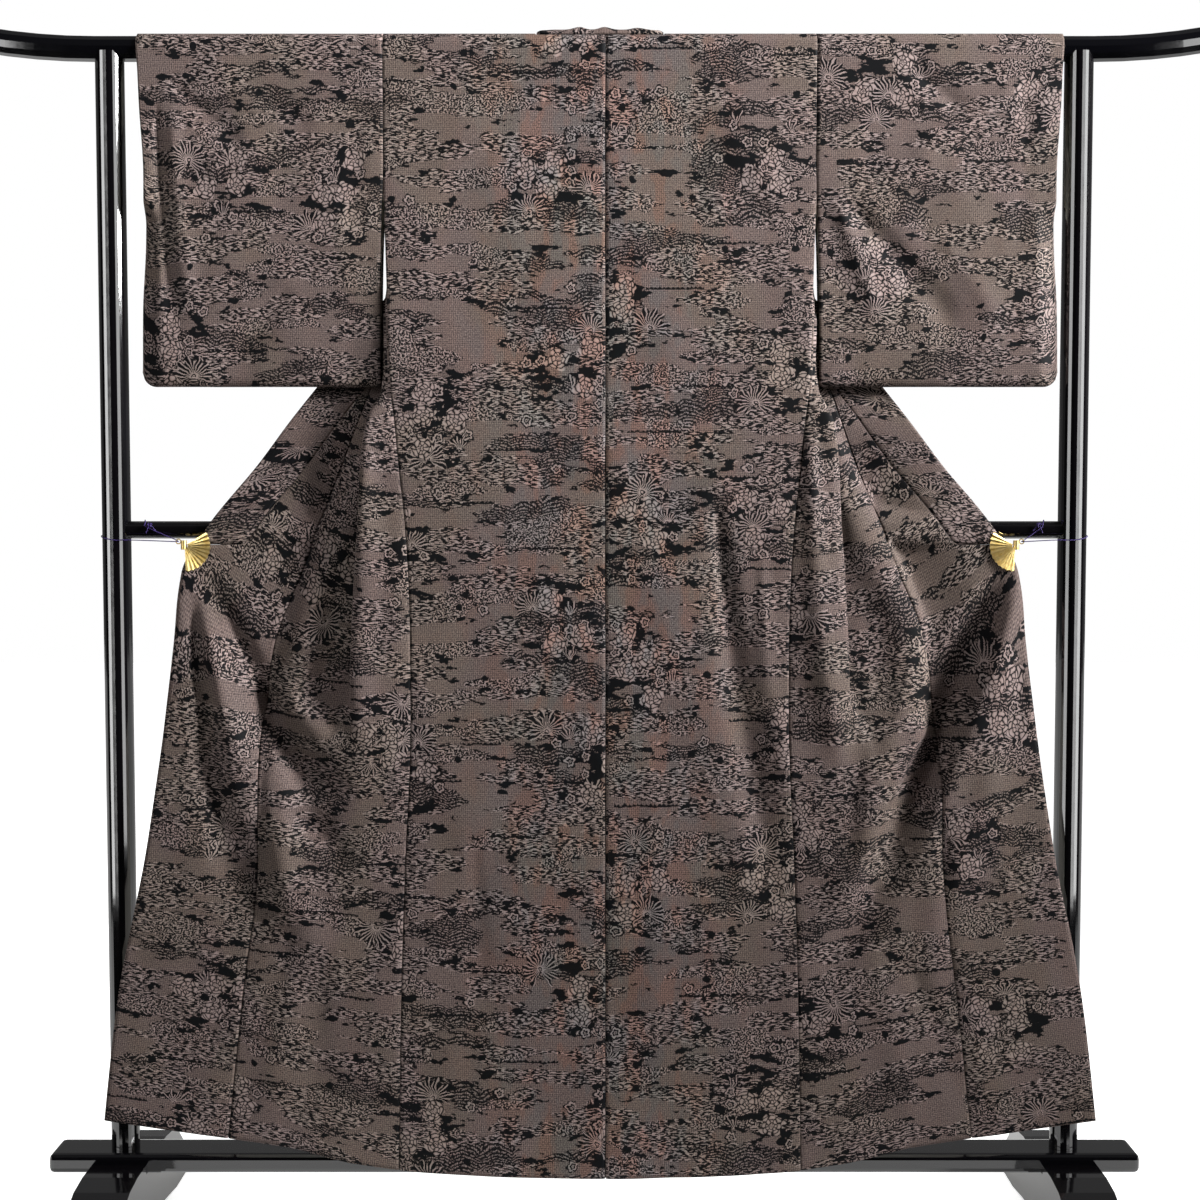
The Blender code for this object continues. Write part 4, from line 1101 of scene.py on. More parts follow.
@dataclass(frozen=True)
class FiguredSilk:
    """Jacquard silk: mist, black gaps, pine needles and flowers, woven in light thread.

    Sizes are in metres of the cut.  Waves are for each metre across and along it, and
    the shift of a noise only sets where its pattern starts.  A level is 0 for black,
    1 for the lightest thread.
    """

    black: tuple = (0.0030, 0.0030, 0.0036)
    dark: tuple = (0.018, 0.0135, 0.0130)
    ground: tuple = (0.104, 0.0770, 0.0700)
    light: tuple = (0.290, 0.228, 0.218)
    plain: tuple = (1.0, 1.0, 1.0, 1.0)
    rust: tuple = (1.30, 0.92, 0.76, 1.0)
    blue: tuple = (0.80, 1.03, 1.12, 1.0)
    olive: tuple = (0.97, 1.03, 0.90, 1.0)
    roughness: float = 0.62
    sheen: float = 0.006
    gloss: float = 0.05
    thread: float = 0.0009
    rib: float = 0.0012
    rib_depth: float = 0.00006
    wander_waves: Place = (75.0, 75.0)
    wander: tuple = (0.008, 0.005, 0.0)
    # The ground's fine check, and how far its threads vary
    check: float = 0.0021
    ground_level: float = 0.38
    check_step: float = 0.12
    grain_waves: Place = (700.0, 420.0)
    grain_step: float = 0.32
    # Mist, where the ground is plain, keeps off the clusters of flowers
    mist_waves: Place = (8.5, 31.0)
    mist_loss: float = 0.010
    mist_off: float = 0.06
    mist_edge: Place = (0.525, 0.545)
    # Black gaps follow the mist's edge
    gap_waves: Place = (24.0, 58.0)
    gap_by_cluster: float = 0.125
    gap_mist: float = 0.52
    gap_off_mist: float = 0.7
    gap_edge: Place = (0.604, 0.610)
    # Faint coloured threads, strongest near the centre seam of each back
    centre_seams: Place = (0.35, 1.62)
    centre_reach: Place = (0.06, 0.24)
    backs_end: float = 2.05
    tint_most: float = 0.42
    tint_least: float = 0.06
    spot_waves: Place = (30.0, 13.0)
    rust_edge: Place = (0.54, 0.62)
    blue_edge: Place = (0.38, 0.46)
    olive_waves: Place = (8.0, 6.0)
    olive_edge: Place = (0.45, 0.60)
    # Clusters of flowers
    cluster_pitch: float = 0.26
    cluster_spread: float = 0.45
    cluster_reach: Place = (0.13, 0.36)
    # Leaves lean to the left or right, grasses are fine dots
    lean_waves: Place = (9.0, 20.0)
    lean_right: Place = (0.44, 0.47)
    lean_none: Place = (0.57, 0.60)
    leaf_waves: Place = (130.0, 600.0)
    leaf_turn: float = 0.62
    dot_waves: Place = (400.0, 440.0)
    leaf_light: float = 0.575
    leaf_dark: float = 0.508
    leaf_rise: float = 0.27
    leaf_fall: float = 0.46
    # Rows of dotted waves
    hump: float = 0.044
    hump_rows: float = 1.6
    wave_row: float = 0.0044
    wave_dots: float = 0.48
    wave_rise: float = 0.56
    wave_fall: float = 0.42
    wave_waves: Place = (6.0, 21.0)
    wave_share: float = 0.645
    # Thin toothed lines, and blots
    line_row: float = 0.066
    line_pitch: float = 0.19
    line_chance: float = 0.55
    line_slide: float = 0.618
    line_half: Place = (0.14, 0.2)
    line_place: Place = (0.25, 0.5)
    line_below: float = 0.020
    line_above: float = 0.004
    tooth: float = 0.0062
    tooth_rise: float = 0.085
    blot_pitch: float = 0.115
    blot_radius: float = 0.0052
    blot_chance: float = 0.5
    # Plum flowers
    plum_pitch: float = 0.0205
    plum_radius: float = 0.0048
    plum_lobe: float = 0.0026
    plum_rim: float = 0.72
    plum_rim_start: float = 0.66
    plum_eye: float = 0.6
    plum_eye_reach: Place = (0.12, 0.32)
    plum_gap: float = 1.35
    plum_by_cluster: float = 0.24
    plum_chance: float = 0.985
    # Pine bursts
    burst_pitch: float = 0.083
    burst_radius: float = 0.017
    burst_growth: float = 0.009
    burst_fringe: float = 0.004
    burst_needles: float = 24.0
    burst_needle: float = 0.00003
    burst_chance: float = 0.55
    burst_eye: float = 0.0016
    burst_ring: float = 0.0032
    burst_level: float = 0.72
    # Peonies
    peony_pitch: float = 0.044
    peony_radius: float = 0.0160
    peony_lobe: float = 0.0022
    petal: float = 0.0052
    petal_edge: Place = (0.06, 0.16)
    petal_level: float = 0.54
    peony_chance: float = 1.06

    def make(self, name: str) -> bpy.types.Material:
        """Make the outer cloth's material.

        Args:
            name: the material's name.

        Returns:
            The material.
        """
        g = Graph.of_material(name)
        cut = g.add("ShaderNodeUVMap", {"uv_map": "cut"})
        woven = g.vector("SNAP", cut, (self.thread, self.thread, 1.0))
        wander = g.noise(g.stretch(cut, self.wander_waves), 1.0, colour=True)
        woven = g.vector("MULTIPLY_ADD", wander, self.wander, woven)
        u = g.add("ShaderNodeSeparateXYZ", None, {0: woven})
        v = u.also(1)
        amid = self.cluster(g, woven)

        mist = g.noise(g.stretch(woven, self.mist_waves, (3.1, 7.7)), 2.0, 0.5)
        mist = mist - amid * self.mist_off - self.mist_loss
        ground = self.check_level(g, cut)
        marks = self.strokes(g, woven, u, v)
        level = ground + marks * (1.0 - mist.between(*self.mist_edge))

        gaps = g.noise(g.stretch(woven, self.gap_waves, (1.3, 2.9)), 3.0, 0.65)
        gaps = gaps + amid * self.gap_by_cluster - abs(mist - self.gap_mist) * self.gap_off_mist
        level = level * (1.0 - gaps.between(*self.gap_edge))
        level = level * (1.0 - self.toothed_lines(g, u, v))
        level = level * (1.0 - self.blots(g, woven))
        for lay in (self.plums, self.bursts, self.peonies):
            level = lay(g, woven, level)
        level = level.both(1.0).either(0.0)

        colour = g.ramp(level, ((0.0, self.black), (0.25, self.dark), (0.5, self.ground),
                                (1.0, self.light)))
        colour = g.mix(1.0, colour, self.tints(g, cut, u, v), "MULTIPLY")
        ribs = g.add("ShaderNodeSeparateXYZ", None, {0: cut}, 1) * (2 * pi / self.rib)
        return g.finish(Base_Color=colour, Roughness=self.roughness,
                        Normal=g.bump(ribs.sine(), self.rib_depth, 0.5),
                        Sheen_Weight=self.sheen, Sheen_Roughness=0.4,
                        Specular_IOR_Level=self.gloss)

    def tints(self, g: Graph, cut: Value, u: Value, v: Value) -> Value:
        """Tint with faint rust, blue and olive threads.

        Args:
            g: the material's nodes.
            cut: place on the cloth.
            u: place across.
            v: place along.

        Returns:
            The colour that the silk's own is multiplied by.
        """
        middle = abs(u - self.centre_seams[0]).both(abs(u - self.centre_seams[1]))
        middle = 1.0 - middle.between(*self.centre_reach)
        middle = middle * (v < self.backs_end) * self.tint_most + self.tint_least
        spots = g.noise(g.stretch(cut, self.spot_waves, (0.7, 5.5)), 2.0, 0.6)
        clouds = g.noise(g.stretch(cut, self.olive_waves, (3.7, 1.5)), 1.0)
        tint = g.mix(spots.between(*self.rust_edge) * middle, self.plain, self.rust)
        tint = g.mix((1.0 - spots.between(*self.blue_edge)) * middle, tint, self.blue)
        return g.mix(clouds.between(*self.olive_edge) * 0.5, tint, self.olive, "MULTIPLY")

    def cluster(self, g: Graph, place: Value) -> Value:
        """Return 1 amid a cluster of flowers and 0 away from it."""
        away = g.add("ShaderNodeTexVoronoi", {"voronoi_dimensions": "2D"}, {
            "Vector": place, "Scale": 1.0 / self.cluster_pitch,
            "Randomness": self.cluster_spread})
        return 1.0 - away.between(*self.cluster_reach)

    def check_level(self, g: Graph, cut: Value) -> Value:
        """Return the mist's fine diagonal check."""
        turned = g.stretch(cut, (1.0 / self.check, 1.0 / self.check), turn=pi / 4)
        checker = g.add("ShaderNodeTexChecker", None, {"Vector": turned, "Scale": 1.0}, 1)
        grain = g.noise(g.stretch(cut, self.grain_waves))
        return self.ground_level + checker * self.check_step + (grain - 0.5) * self.grain_step

    def strokes(self, g: Graph, woven: Value, u: Value, v: Value) -> Value:
        """Weave leaves, grasses and dotted waves.

        Args:
            g: the material's nodes.
            woven: place on the cloth.
            u: place across.
            v: place along.

        Returns:
            How far they raise or lower the ground's level.
        """
        lean = g.noise(g.stretch(woven, self.lean_waves, (9.1, 4.4)), 1.0)
        left = g.noise(g.stretch(woven, self.leaf_waves, turn=self.leaf_turn))
        right = g.noise(g.stretch(woven, self.leaf_waves, turn=-self.leaf_turn))
        fine = g.noise(g.stretch(woven, self.dot_waves, (5.0, 1.0)))
        leaves = g.blend(lean.between(*self.lean_right), left, right)
        leaves = g.blend(lean.between(*self.lean_none), leaves, fine)
        marks = ((leaves > self.leaf_light) * self.leaf_rise
                 - (leaves < self.leaf_dark) * self.leaf_fall)
        hump = abs((u * (pi / self.hump)).sine())
        rows = (v / self.wave_row - hump * self.hump_rows + lean * 5.0).part()
        lines = ((rows > 0.5) * (fine > self.wave_dots)) * self.wave_rise - self.wave_fall
        waves = g.noise(g.stretch(woven, self.wave_waves, (4.7, 8.8)))
        return g.blend(waves > self.wave_share, marks, lines)

    def toothed_lines(self, g: Graph, u: Value, v: Value) -> Value:
        """Draw thin black level lines with small teeth, one to a cell where chance has it.

        Lengths and heights are shares of a cell: a least one and what chance adds.

        Args:
            g: the material's nodes.
            u: place across.
            v: place along.

        Returns:
            1 on a line and 0 beside it.
        """
        row = (v / self.line_row).whole()
        slid = u / self.line_pitch + (row * self.line_slide).part()
        place = g.add("ShaderNodeCombineXYZ", None, {0: slid.whole(), 1: row})
        chance = g.add("ShaderNodeTexWhiteNoise", {"noise_dimensions": "2D"}, {"Vector": place})
        along = abs(slid.part() - 0.5)
        rise = (v / self.line_row).part() - self.line_place[0] - chance * self.line_place[1]
        teeth = abs((u / self.tooth).part() - 0.5) * self.tooth_rise
        line = (rise > -self.line_below) * (rise < (teeth + self.line_above))
        reach = self.line_half[0] + chance * self.line_half[1]
        return line * (along < reach) * (chance < self.line_chance)

    def blots(self, g: Graph, woven: Value) -> Value:
        """Return small black spots, one here and there."""
        spot = self.scatter(g, woven, self.blot_pitch, (4.0, 2.0))
        return (spot.radius < self.blot_radius) * (spot.chance < self.blot_chance)

    def scatter(self, g: Graph, woven: Value, cell: float, shift: Place,
                spread: float = 0.7) -> Motif:
        """Return polar places about scattered centres.

        Args:
            g: the material's nodes.
            woven: place on the cloth.
            cell: usual distance between centres.
            shift: where the scatter starts.
            spread: how irregular they are.

        Returns:
            Radius, angle, chance and centre of the nearest one.
        """
        place = g.vector("ADD", woven, (*shift, 0.0))
        inputs = {"Vector": place, "Scale": 1.0 / cell, "Randomness": spread}
        centre = g.add("ShaderNodeTexVoronoi", {"voronoi_dimensions": "2D"}, inputs, "Position")
        local = g.vector("SUBTRACT", place, centre)
        radius = g.vector("LENGTH", local, output="Value")
        across = g.add("ShaderNodeSeparateXYZ", None, {0: local})
        angle = across.also(1).math("ARCTAN2", across)
        chance = g.add("ShaderNodeSeparateColor", None, {0: centre.also("Color")})
        return Motif(radius, angle, chance, g.vector("SUBTRACT", centre, (*shift, 0.0)))

    def plums(self, g: Graph, woven: Value, level: Value) -> Value:
        """Lay small plum flowers with five petals over the cloth.

        Args:
            g: the material's nodes.
            woven: place on the cloth.
            level: the cloth's level so far.

        Returns:
            The level with them.
        """
        plum = self.scatter(g, woven, self.plum_pitch, (0.3, 2.2), 0.55)
        lobes = abs((plum.angle * 2.5).sine())
        edge = plum.radius / (self.plum_radius + self.plum_lobe * lobes)
        low, high = self.plum_eye_reach
        face = ((edge > self.plum_rim_start) * self.plum_rim
                + (edge < high) * (edge > low) * self.plum_eye)
        amid = self.cluster(g, plum.centre)
        chosen = (plum.chance + amid * self.plum_by_cluster) > self.plum_chance
        level = level * (1.0 - (edge < self.plum_gap) * chosen)
        return g.blend((edge < 1.0) * chosen, level, face)

    def bursts(self, g: Graph, woven: Value, level: Value) -> Value:
        """Lay half-round bursts of pine needles over the cloth.

        Args:
            g: the material's nodes.
            woven: place on the cloth.
            level: the cloth's level so far.

        Returns:
            The level with them.
        """
        burst = self.scatter(g, woven, self.burst_pitch, (1.7, 0.4), 0.8)
        reach = (self.burst_radius + burst.chance * self.burst_growth
                 + self.burst_fringe * (burst.angle * 11.0).sine())
        rays = (burst.angle * self.burst_needles + burst.chance * 9.0).sine()
        needles = (rays + self.burst_needle / (burst.radius * burst.radius)) > 0.55
        needles = (needles * (burst.radius > self.burst_ring)
                   + (burst.radius < self.burst_eye))
        upper = burst.angle.sine() > (burst.chance * 6.0).sine() * 0.9
        there = (burst.chance * 0.5 + self.cluster(g, burst.centre)) > self.burst_chance
        return g.blend((burst.radius < reach) * upper * there, level,
                       needles * self.burst_level)

    def peonies(self, g: Graph, woven: Value, level: Value) -> Value:
        """Lay full peonies over the cloth, amid the clusters.

        Args:
            g: the material's nodes.
            woven: place on the cloth.
            level: the cloth's level so far.

        Returns:
            The level with them.
        """
        peony = self.scatter(g, woven, self.peony_pitch, (2.9, 1.1), 0.55)
        petals = g.add("ShaderNodeCombineXYZ", None, {
            0: peony.angle * 1.2 + peony.chance * 20.0, 1: peony.radius / self.petal})
        petals = g.add("ShaderNodeTexVoronoi", {
            "voronoi_dimensions": "2D", "feature": "DISTANCE_TO_EDGE"}, {
            "Vector": petals, "Scale": 1.0, "Randomness": 0.55}, "Distance")
        petals = petals.between(*self.petal_edge) * (self.petal_level + petals * 0.6)
        lobes = (peony.angle * 4.0).sine()
        head = peony.radius < (self.peony_radius + self.peony_lobe * lobes)
        chosen = (peony.chance * 0.4 + self.cluster(g, peony.centre)) > self.peony_chance
        return g.blend(head * chosen, level, petals)


@dataclass(frozen=True)
class Lining:
    """Plain ivory silk lining."""

    colour: tuple = (0.78, 0.745, 0.67)
    roughness: float = 0.5
    clouded: float = 0.9
    weave_waves: Place = (900.0, 2600.0)
    cloud_waves: Place = (14.0, 9.0)
    sheen: float = 0.1

    def make(self, name: str) -> bpy.types.Material:
        """Make the lining's material.

        Args:
            name: the material's name.

        Returns:
            The material.
        """
        g = Graph.of_material(name)
        cut = g.add("ShaderNodeUVMap", {"uv_map": "cut"})
        weave = g.noise(g.stretch(cut, self.weave_waves))
        cloudy = g.noise(g.stretch(cut, self.cloud_waves), 2.0)
        colour = g.mix(cloudy, shade(self.colour), shade(self.colour, self.clouded))
        return g.finish(Base_Color=colour, Roughness=self.roughness,
                        Normal=g.bump(weave, 0.0001, 0.4), Sheen_Weight=self.sheen)


@dataclass(frozen=True)
class Lacquer:
    """Deep black lacquer on wood, polished by hand."""

    colour: tuple = (0.0012, 0.0012, 0.0018)
    edge_colour: tuple = (0.030, 0.017, 0.011)
    edge_wear: float = 0.02
    edge_reach: Place = (0.53, 0.60)
    cloud_waves: float = 9.0
    rub_waves: tuple = (40.0, 40.0, 9.0)
    skin_waves: float = 55.0
    smooth: float = 0.03
    dull: float = 0.08
    rub: float = 0.03
    gloss: float = 0.90

    def make(self, name: str) -> bpy.types.Material:
        """Make the stand's material.

        Args:
            name: the material's name.

        Returns:
            The material.
        """
        g = Graph.of_material(name)
        place = g.place()
        clouds = g.clouds(place, self.cloud_waves, 3.0, 0.6)
        rubbed = g.clouds(g.stretch(place, self.rub_waves), 1.0)
        edges = g.add("ShaderNodeNewGeometry", None, None, "Pointiness")
        worn = edges.between(*self.edge_reach) * self.edge_wear
        roughness = self.smooth + clouds * (self.dull - self.smooth) + rubbed * self.rub
        colour = g.mix(worn, shade(self.colour), shade(self.edge_colour))
        skin = g.clouds(place, self.skin_waves)
        return g.finish(Base_Color=colour, Roughness=roughness,
                        Normal=g.bump(skin, 0.0004, 0.08), Specular_IOR_Level=self.gloss)


@dataclass(frozen=True)
class Gilt:
    """Bright gilt brass with brushed ribs."""

    colour: tuple = (1.00, 0.77, 0.33)
    deepened: tuple = (0.82, 0.74, 0.55)
    grain_waves: float = 1400.0
    cloud_waves: float = 160.0
    cloud_edge: Place = (0.35, 0.70)
    smooth: float = 0.28
    dull: float = 0.14

    def make(self, name: str) -> bpy.types.Material:
        """Make the clips' material.

        Args:
            name: the material's name.

        Returns:
            The material.
        """
        g = Graph.of_material(name)
        place = g.place()
        grain = g.clouds(place, self.grain_waves, 1.0)
        cloud = g.clouds(place, self.cloud_waves)
        colour = g.mix(cloud.between(*self.cloud_edge), shade(self.colour),
                       shade(self.colour, self.deepened))
        return g.finish(Base_Color=colour, Metallic=1.0,
                        Roughness=self.smooth + cloud * self.dull,
                        Normal=g.bump(grain, 0.00006, 0.35))


@dataclass(frozen=True)
class TieCord:
    """Thin purple twisted cord."""

    colour: tuple = (0.018, 0.009, 0.062)
    pale: float = 2.1
    dim: float = 0.45
    twist: float = 0.7
    strand_waves: float = 420.0
    fuzz_waves: float = 2200.0
    fuzz: float = 0.3
    roughness: float = 0.6
    sheen: float = 0.03
    gloss: float = 0.2

    def make(self, name: str) -> bpy.types.Material:
        """Make the cords' material.

        Args:
            name: the material's name.

        Returns:
            The material.
        """
        g = Graph.of_material(name)
        place = g.place()
        turned = g.stretch(place, (1.0, 1.0), turn=self.twist)
        strand = g.add("ShaderNodeTexWave", None, {
            "Vector": turned, "Scale": self.strand_waves, "Distortion": 1.0}, 1)
        tone = strand * (1.0 - self.fuzz) + g.clouds(place, self.fuzz_waves) * self.fuzz
        colour = g.mix(tone, shade(self.colour, self.dim), shade(self.colour, self.pale))
        return g.finish(Base_Color=colour, Roughness=self.roughness,
                        Normal=g.bump(strand, 0.0002, 0.7),
                        Sheen_Weight=self.sheen, Specular_IOR_Level=self.gloss)


@dataclass(frozen=True)
class StudioPaper:
    """The pale floor."""

    colour: tuple = (0.90, 0.90, 0.895)
    clouded: float = 0.985
    glow: float = 0.72
    fill: float = 0.35      # how much of the glow falls on the object
    cloud_waves: float = 3.0
    roughness: float = 0.55
    gloss: float = 0.2

    def make(self, name: str) -> bpy.types.Material:
        """Make the floor's material.

        Args:
            name: the material's name.

        Returns:
            The material.
        """
        g = Graph.of_material(name)
        place = g.place()
        colour = g.mix(g.clouds(place, self.cloud_waves), shade(self.colour),
                       shade(self.colour, self.clouded))
        seen = g.add("ShaderNodeLightPath", None, None, "Is Camera Ray")
        white = (1.0, 1.0, 1.0)
        glow = g.mix(seen, shade(white, self.fill), shade(white))
        return g.finish(Base_Color=colour, Roughness=self.roughness,
                        Specular_IOR_Level=self.gloss, Emission_Color=glow,
                        Emission_Strength=self.glow)


# Garment
@dataclass
class Garment:
    """The seven sewn pieces of the kimono."""

    fall: Fall
    silk: bpy.types.Material
    lining: bpy.types.Material
    body_width: float = 0.29
    body_length: float = 3.19
    okumi_width: float = 0.20
    okumi_length: float = 1.18
    okumi_area: float = 0.155
    sleeve_width: float = 0.35
    sleeve_length: float = 0.98
    collar_folded: float = 0.055
    collar_width: float = 0.062
    collar_length: float = 1.90
    pucker_depth: float = 0.0007
    pucker_width: float = 0.0050

    def build(self) -> None:
        """Make every piece."""
        for side in Side:
            self.make_body(side)
            self.make_okumi(side)
            self.make_sleeve(side)
        self.make_collar()

    def dress(self, item: bpy.types.Object, flat: Place, area: Optional[float] = None) -> None:
        """Parent a piece of cloth to the root and hide the solid that it replaces.

        Args:
            item: the piece, named after its solid with "cloth_" before it.
            flat: the cut's width and length.
            area: its flat area where it isn't a rectangle; not used.
        """
        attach(item, "root")
        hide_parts(item.name.removeprefix("cloth_"))
        log.info("%s: cut %.2f by %.2f m", item.name, *flat)

    def pucker(self, away: Array) -> Array:
        """Return how far the cloth sinks beside a seam."""
        return self.pucker_depth * np.exp(-(np.asarray(away) / self.pucker_width) ** 2)

    def make_body(self, side: Side) -> None:
        """Make a long strip: back hem, over the shoulder, front hem.

        Args:
            side: the strip's side.
        """
        levels = self.fall.levels
        fronts, front_flat, backs, back_flat = [], [], [], []
        count = sum(STRETCH_POINTS)
        top = RAIL_Z - HEM_Z + WRAP * pi
        for level in levels:
            row = self.fall.row(side, level)
            points, width = self.back_points(side, level, count)
            backs.append(points)
            back_flat.append(np.stack((width, np.full(len(width), level - HEM_Z)), -1))
            runs = self.front_runs(row)
            points = row.at(runs)
            points[:, 1] += self.pucker(row.seam - runs) + self.pucker(runs)
            gone = np.full((NECK_COLUMNS, 3), np.nan)
            fronts.append(np.vstack((points, gone)))
            runs = np.concatenate((runs, np.full(NECK_COLUMNS, runs[-1])))
            rise = np.interp(level, GRAIN_LEVELS, GRAIN_RISES) * runs ** 2
            front_flat.append(np.stack((width[0] - runs, top + RAIL_Z - level + rise), -1))
        wraps, wrap_flat = [], []
        angles = np.concatenate((np.linspace(-90.0, NECK_BACK, BACK_WRAP_ROWS),
                                 np.linspace(NECK_BACK, 90.0, FRONT_WRAP_ROWS)[1:]))
        for angle in angles:
            points, width = self.wrap_points(side, angle, count)
            wraps.append(points)
            along = RAIL_Z - HEM_Z + WRAP * radians(angle + 90.0)
            wrap_flat.append(np.stack((width, np.full(len(width), along)), -1))
        points = np.stack(backs + wraps + fronts[::-1])
        flat = np.stack(back_flat + wrap_flat + front_flat[::-1])
        points, flat, allowance = self.turn_body_edges(side, points, flat, count, len(wraps))
        flat = flat * (side.value, 1.0) + CUT_PLACES[f"body_{side.word}"]
        panel = Panel(points, flat, flip=side is Side.RIGHT, allowance=allowance)
        item = panel.make(f"cloth_body_{side.word}", CLOTH, (self.silk, self.lining))
        self.dress(item, (self.body_width, self.body_length))

    def turn_body_edges(self, side: Side, points: Array, flat: Array, count: int,
                        wraps: int) -> tuple[Array, Array, Array]:
        """Turn the strip's edges inward along its seams.

        Args:
            side: the strip's side.
            points: the strip's grid.
            flat: the place of each point on the flat cloth.
            count: number of columns as far as the neck.
            wraps: number of rows over the rail.

        Returns:
            The grid and the flat places with the turned edges, and which are allowance.
        """
        rows = len(self.fall.levels)
        extra = ALLOWANCE_LINES - 1
        height = points[:, 0, 2]
        turned = turned_below_rail(height)
        sewn = (ease((OPEN_Z - PRESSED_OPEN - height) / PRESSED_GROWTH)
                + ease((height - SLEEVE_SEAM_Z) / PRESSED_GROWTH))
        sewn[rows:] = 0.0
        lines = turn_in(points[:, 0], points[:, 1], -side.value, turned, sewn)
        points = np.concatenate((np.stack(lines[::-1], 1), points[:, 1:]), 1)
        edge = flat[:, :1] + np.stack((np.linspace(0.0, -1.0, extra + 1) * ALLOWANCE_WIDTH,
                                       np.zeros(extra + 1)), -1)
        flat = np.concatenate((edge, flat[:, 1:]), 1)
        # Centre seam
        whole = rows + BACK_WRAP_ROWS
        lines = turn_in(points[:whole, -1], points[:whole, -2], side.value, turned[:whole],
                        float(side is Side.LEFT))
        widened = np.full((len(points), extra, 3), np.nan)
        points = np.concatenate((points, widened), 1)
        flat = np.concatenate((flat, np.repeat(flat[:, -1:], extra, 1)), 1)
        for index, line in enumerate(lines):
            points[:whole, -len(lines) + index] = line
            flat[:whole, -len(lines) + index, 0] -= ALLOWANCE_STEP * index
        # Seams to the overlap panel and the collar
        last = count + extra - 1
        start = rows + wraps
        lines = turn_in(points[start:, last], points[start:, last - 1], side.value,
                        turned[start:], 1.0)
        for index, line in enumerate(lines):
            points[start:, last + index] = line
        allowance = np.zeros(points.shape[:2], bool)
        allowance[:, :extra - 1] = True
        allowance[:whole, -extra + 1:] = True
        allowance[start:, last + 2:] = True
        return points, flat, allowance

    def back_points(self, side: Side, level: float, count: int) -> tuple[Array, Array]:
        """Work out one row of a back.

        Args:
            side: the back's side.
            level: height of the row before the hem moves it.
            count: number of columns as far as the neck.

        Returns:
            The row's points, and their distances from the centre seam.
        """
        side_z = level + hem_rise("side", level)
        centre_z = level + hem_rise("centre", level)
        side_out = read_column(SECTIONS, "side", side_z) - SEAM / 2
        centre_out = side.value * CENTRE_SEAM + SEAM / 2
        neck_out = centre_out + (NECK_OUT - centre_out) * side_out / ARMHOLE_OUT
        out = np.concatenate((np.linspace(side_out, neck_out, count),
                              np.linspace(neck_out, centre_out, NECK_COLUMNS + 1)[1:]))
        share = (out - centre_out) / (side_out - centre_out)
        z = centre_z + (side_z - centre_z) * share ** 2
        heights = np.linspace(z.min(), z.max(), BACK_HEIGHTS)
        steady = np.interp(z, heights, [read_column(SECTIONS, "back_y", h) for h in heights])
        y = steady + push(FOLDS + CREASES, side, out, z) + ripple(side, out, z)
        fade = ease((RAIL_Z - PUCKER_START - z) / PUCKER_GROWTH)
        y = y + (self.pucker(out - centre_out) + self.pucker(side_out - out)) * fade
        return to_world(side, out, y, z), out - centre_out

    def wrap_points(self, side: Side, angle: float, count: int) -> tuple[Array, Array]:
        """Work out one row over the rail, with no cloth inside the neck's cut.

        Args:
            side: the strip's side.
            angle: degrees over the rail, -90 at the back and 90 at the front.
            count: number of columns as far as the neck.

        Returns:
            The row's points, and their distances from the centre seam.
        """
        centre_out = side.value * CENTRE_SEAM + SEAM / 2
        out = np.linspace(ARMHOLE_OUT - SEAM / 2, NECK_OUT + SEAM / 2, count)
        inner = np.linspace(NECK_OUT, centre_out, NECK_COLUMNS + 1)[1:]
        out = np.concatenate((out, inner))
        points = to_world(side, out, WRAP * sin(radians(angle)),
                          RAIL_Z + WRAP * cos(radians(angle)))
        if angle > NECK_BACK + 0.01:
            points[count:] = HOLE
        return points, out - centre_out

    @staticmethod
    def front_runs(row: FrontRow) -> Array:
        """Spread a body strip's columns across one front.

        Args:
            row: the front's row.

        Returns:
            How far along the row each column lies.
        """
        last = row.seam - row.slack
        second = min(row.turn2, last - TURN_TO_SEAM)
        marks = (SEAM / 2, row.turn1, second, last)
        first, middle, outer = STRETCH_POINTS
        inner_crowding, outer_crowding = STRETCH_CROWDING
        shares = (
            np.sin(np.linspace(0.0, pi / 2, first + 1)[:-1]) ** inner_crowding,
            0.5 - 0.5 * np.cos(np.linspace(0.0, pi, middle + 1)[:-1]),
            (1.0 - np.cos(np.linspace(0.0, pi / 2, outer))) ** outer_crowding,
        )
        return np.concatenate([marks[i] + share * (marks[i + 1] - marks[i])
                               for i, share in enumerate(shares)])

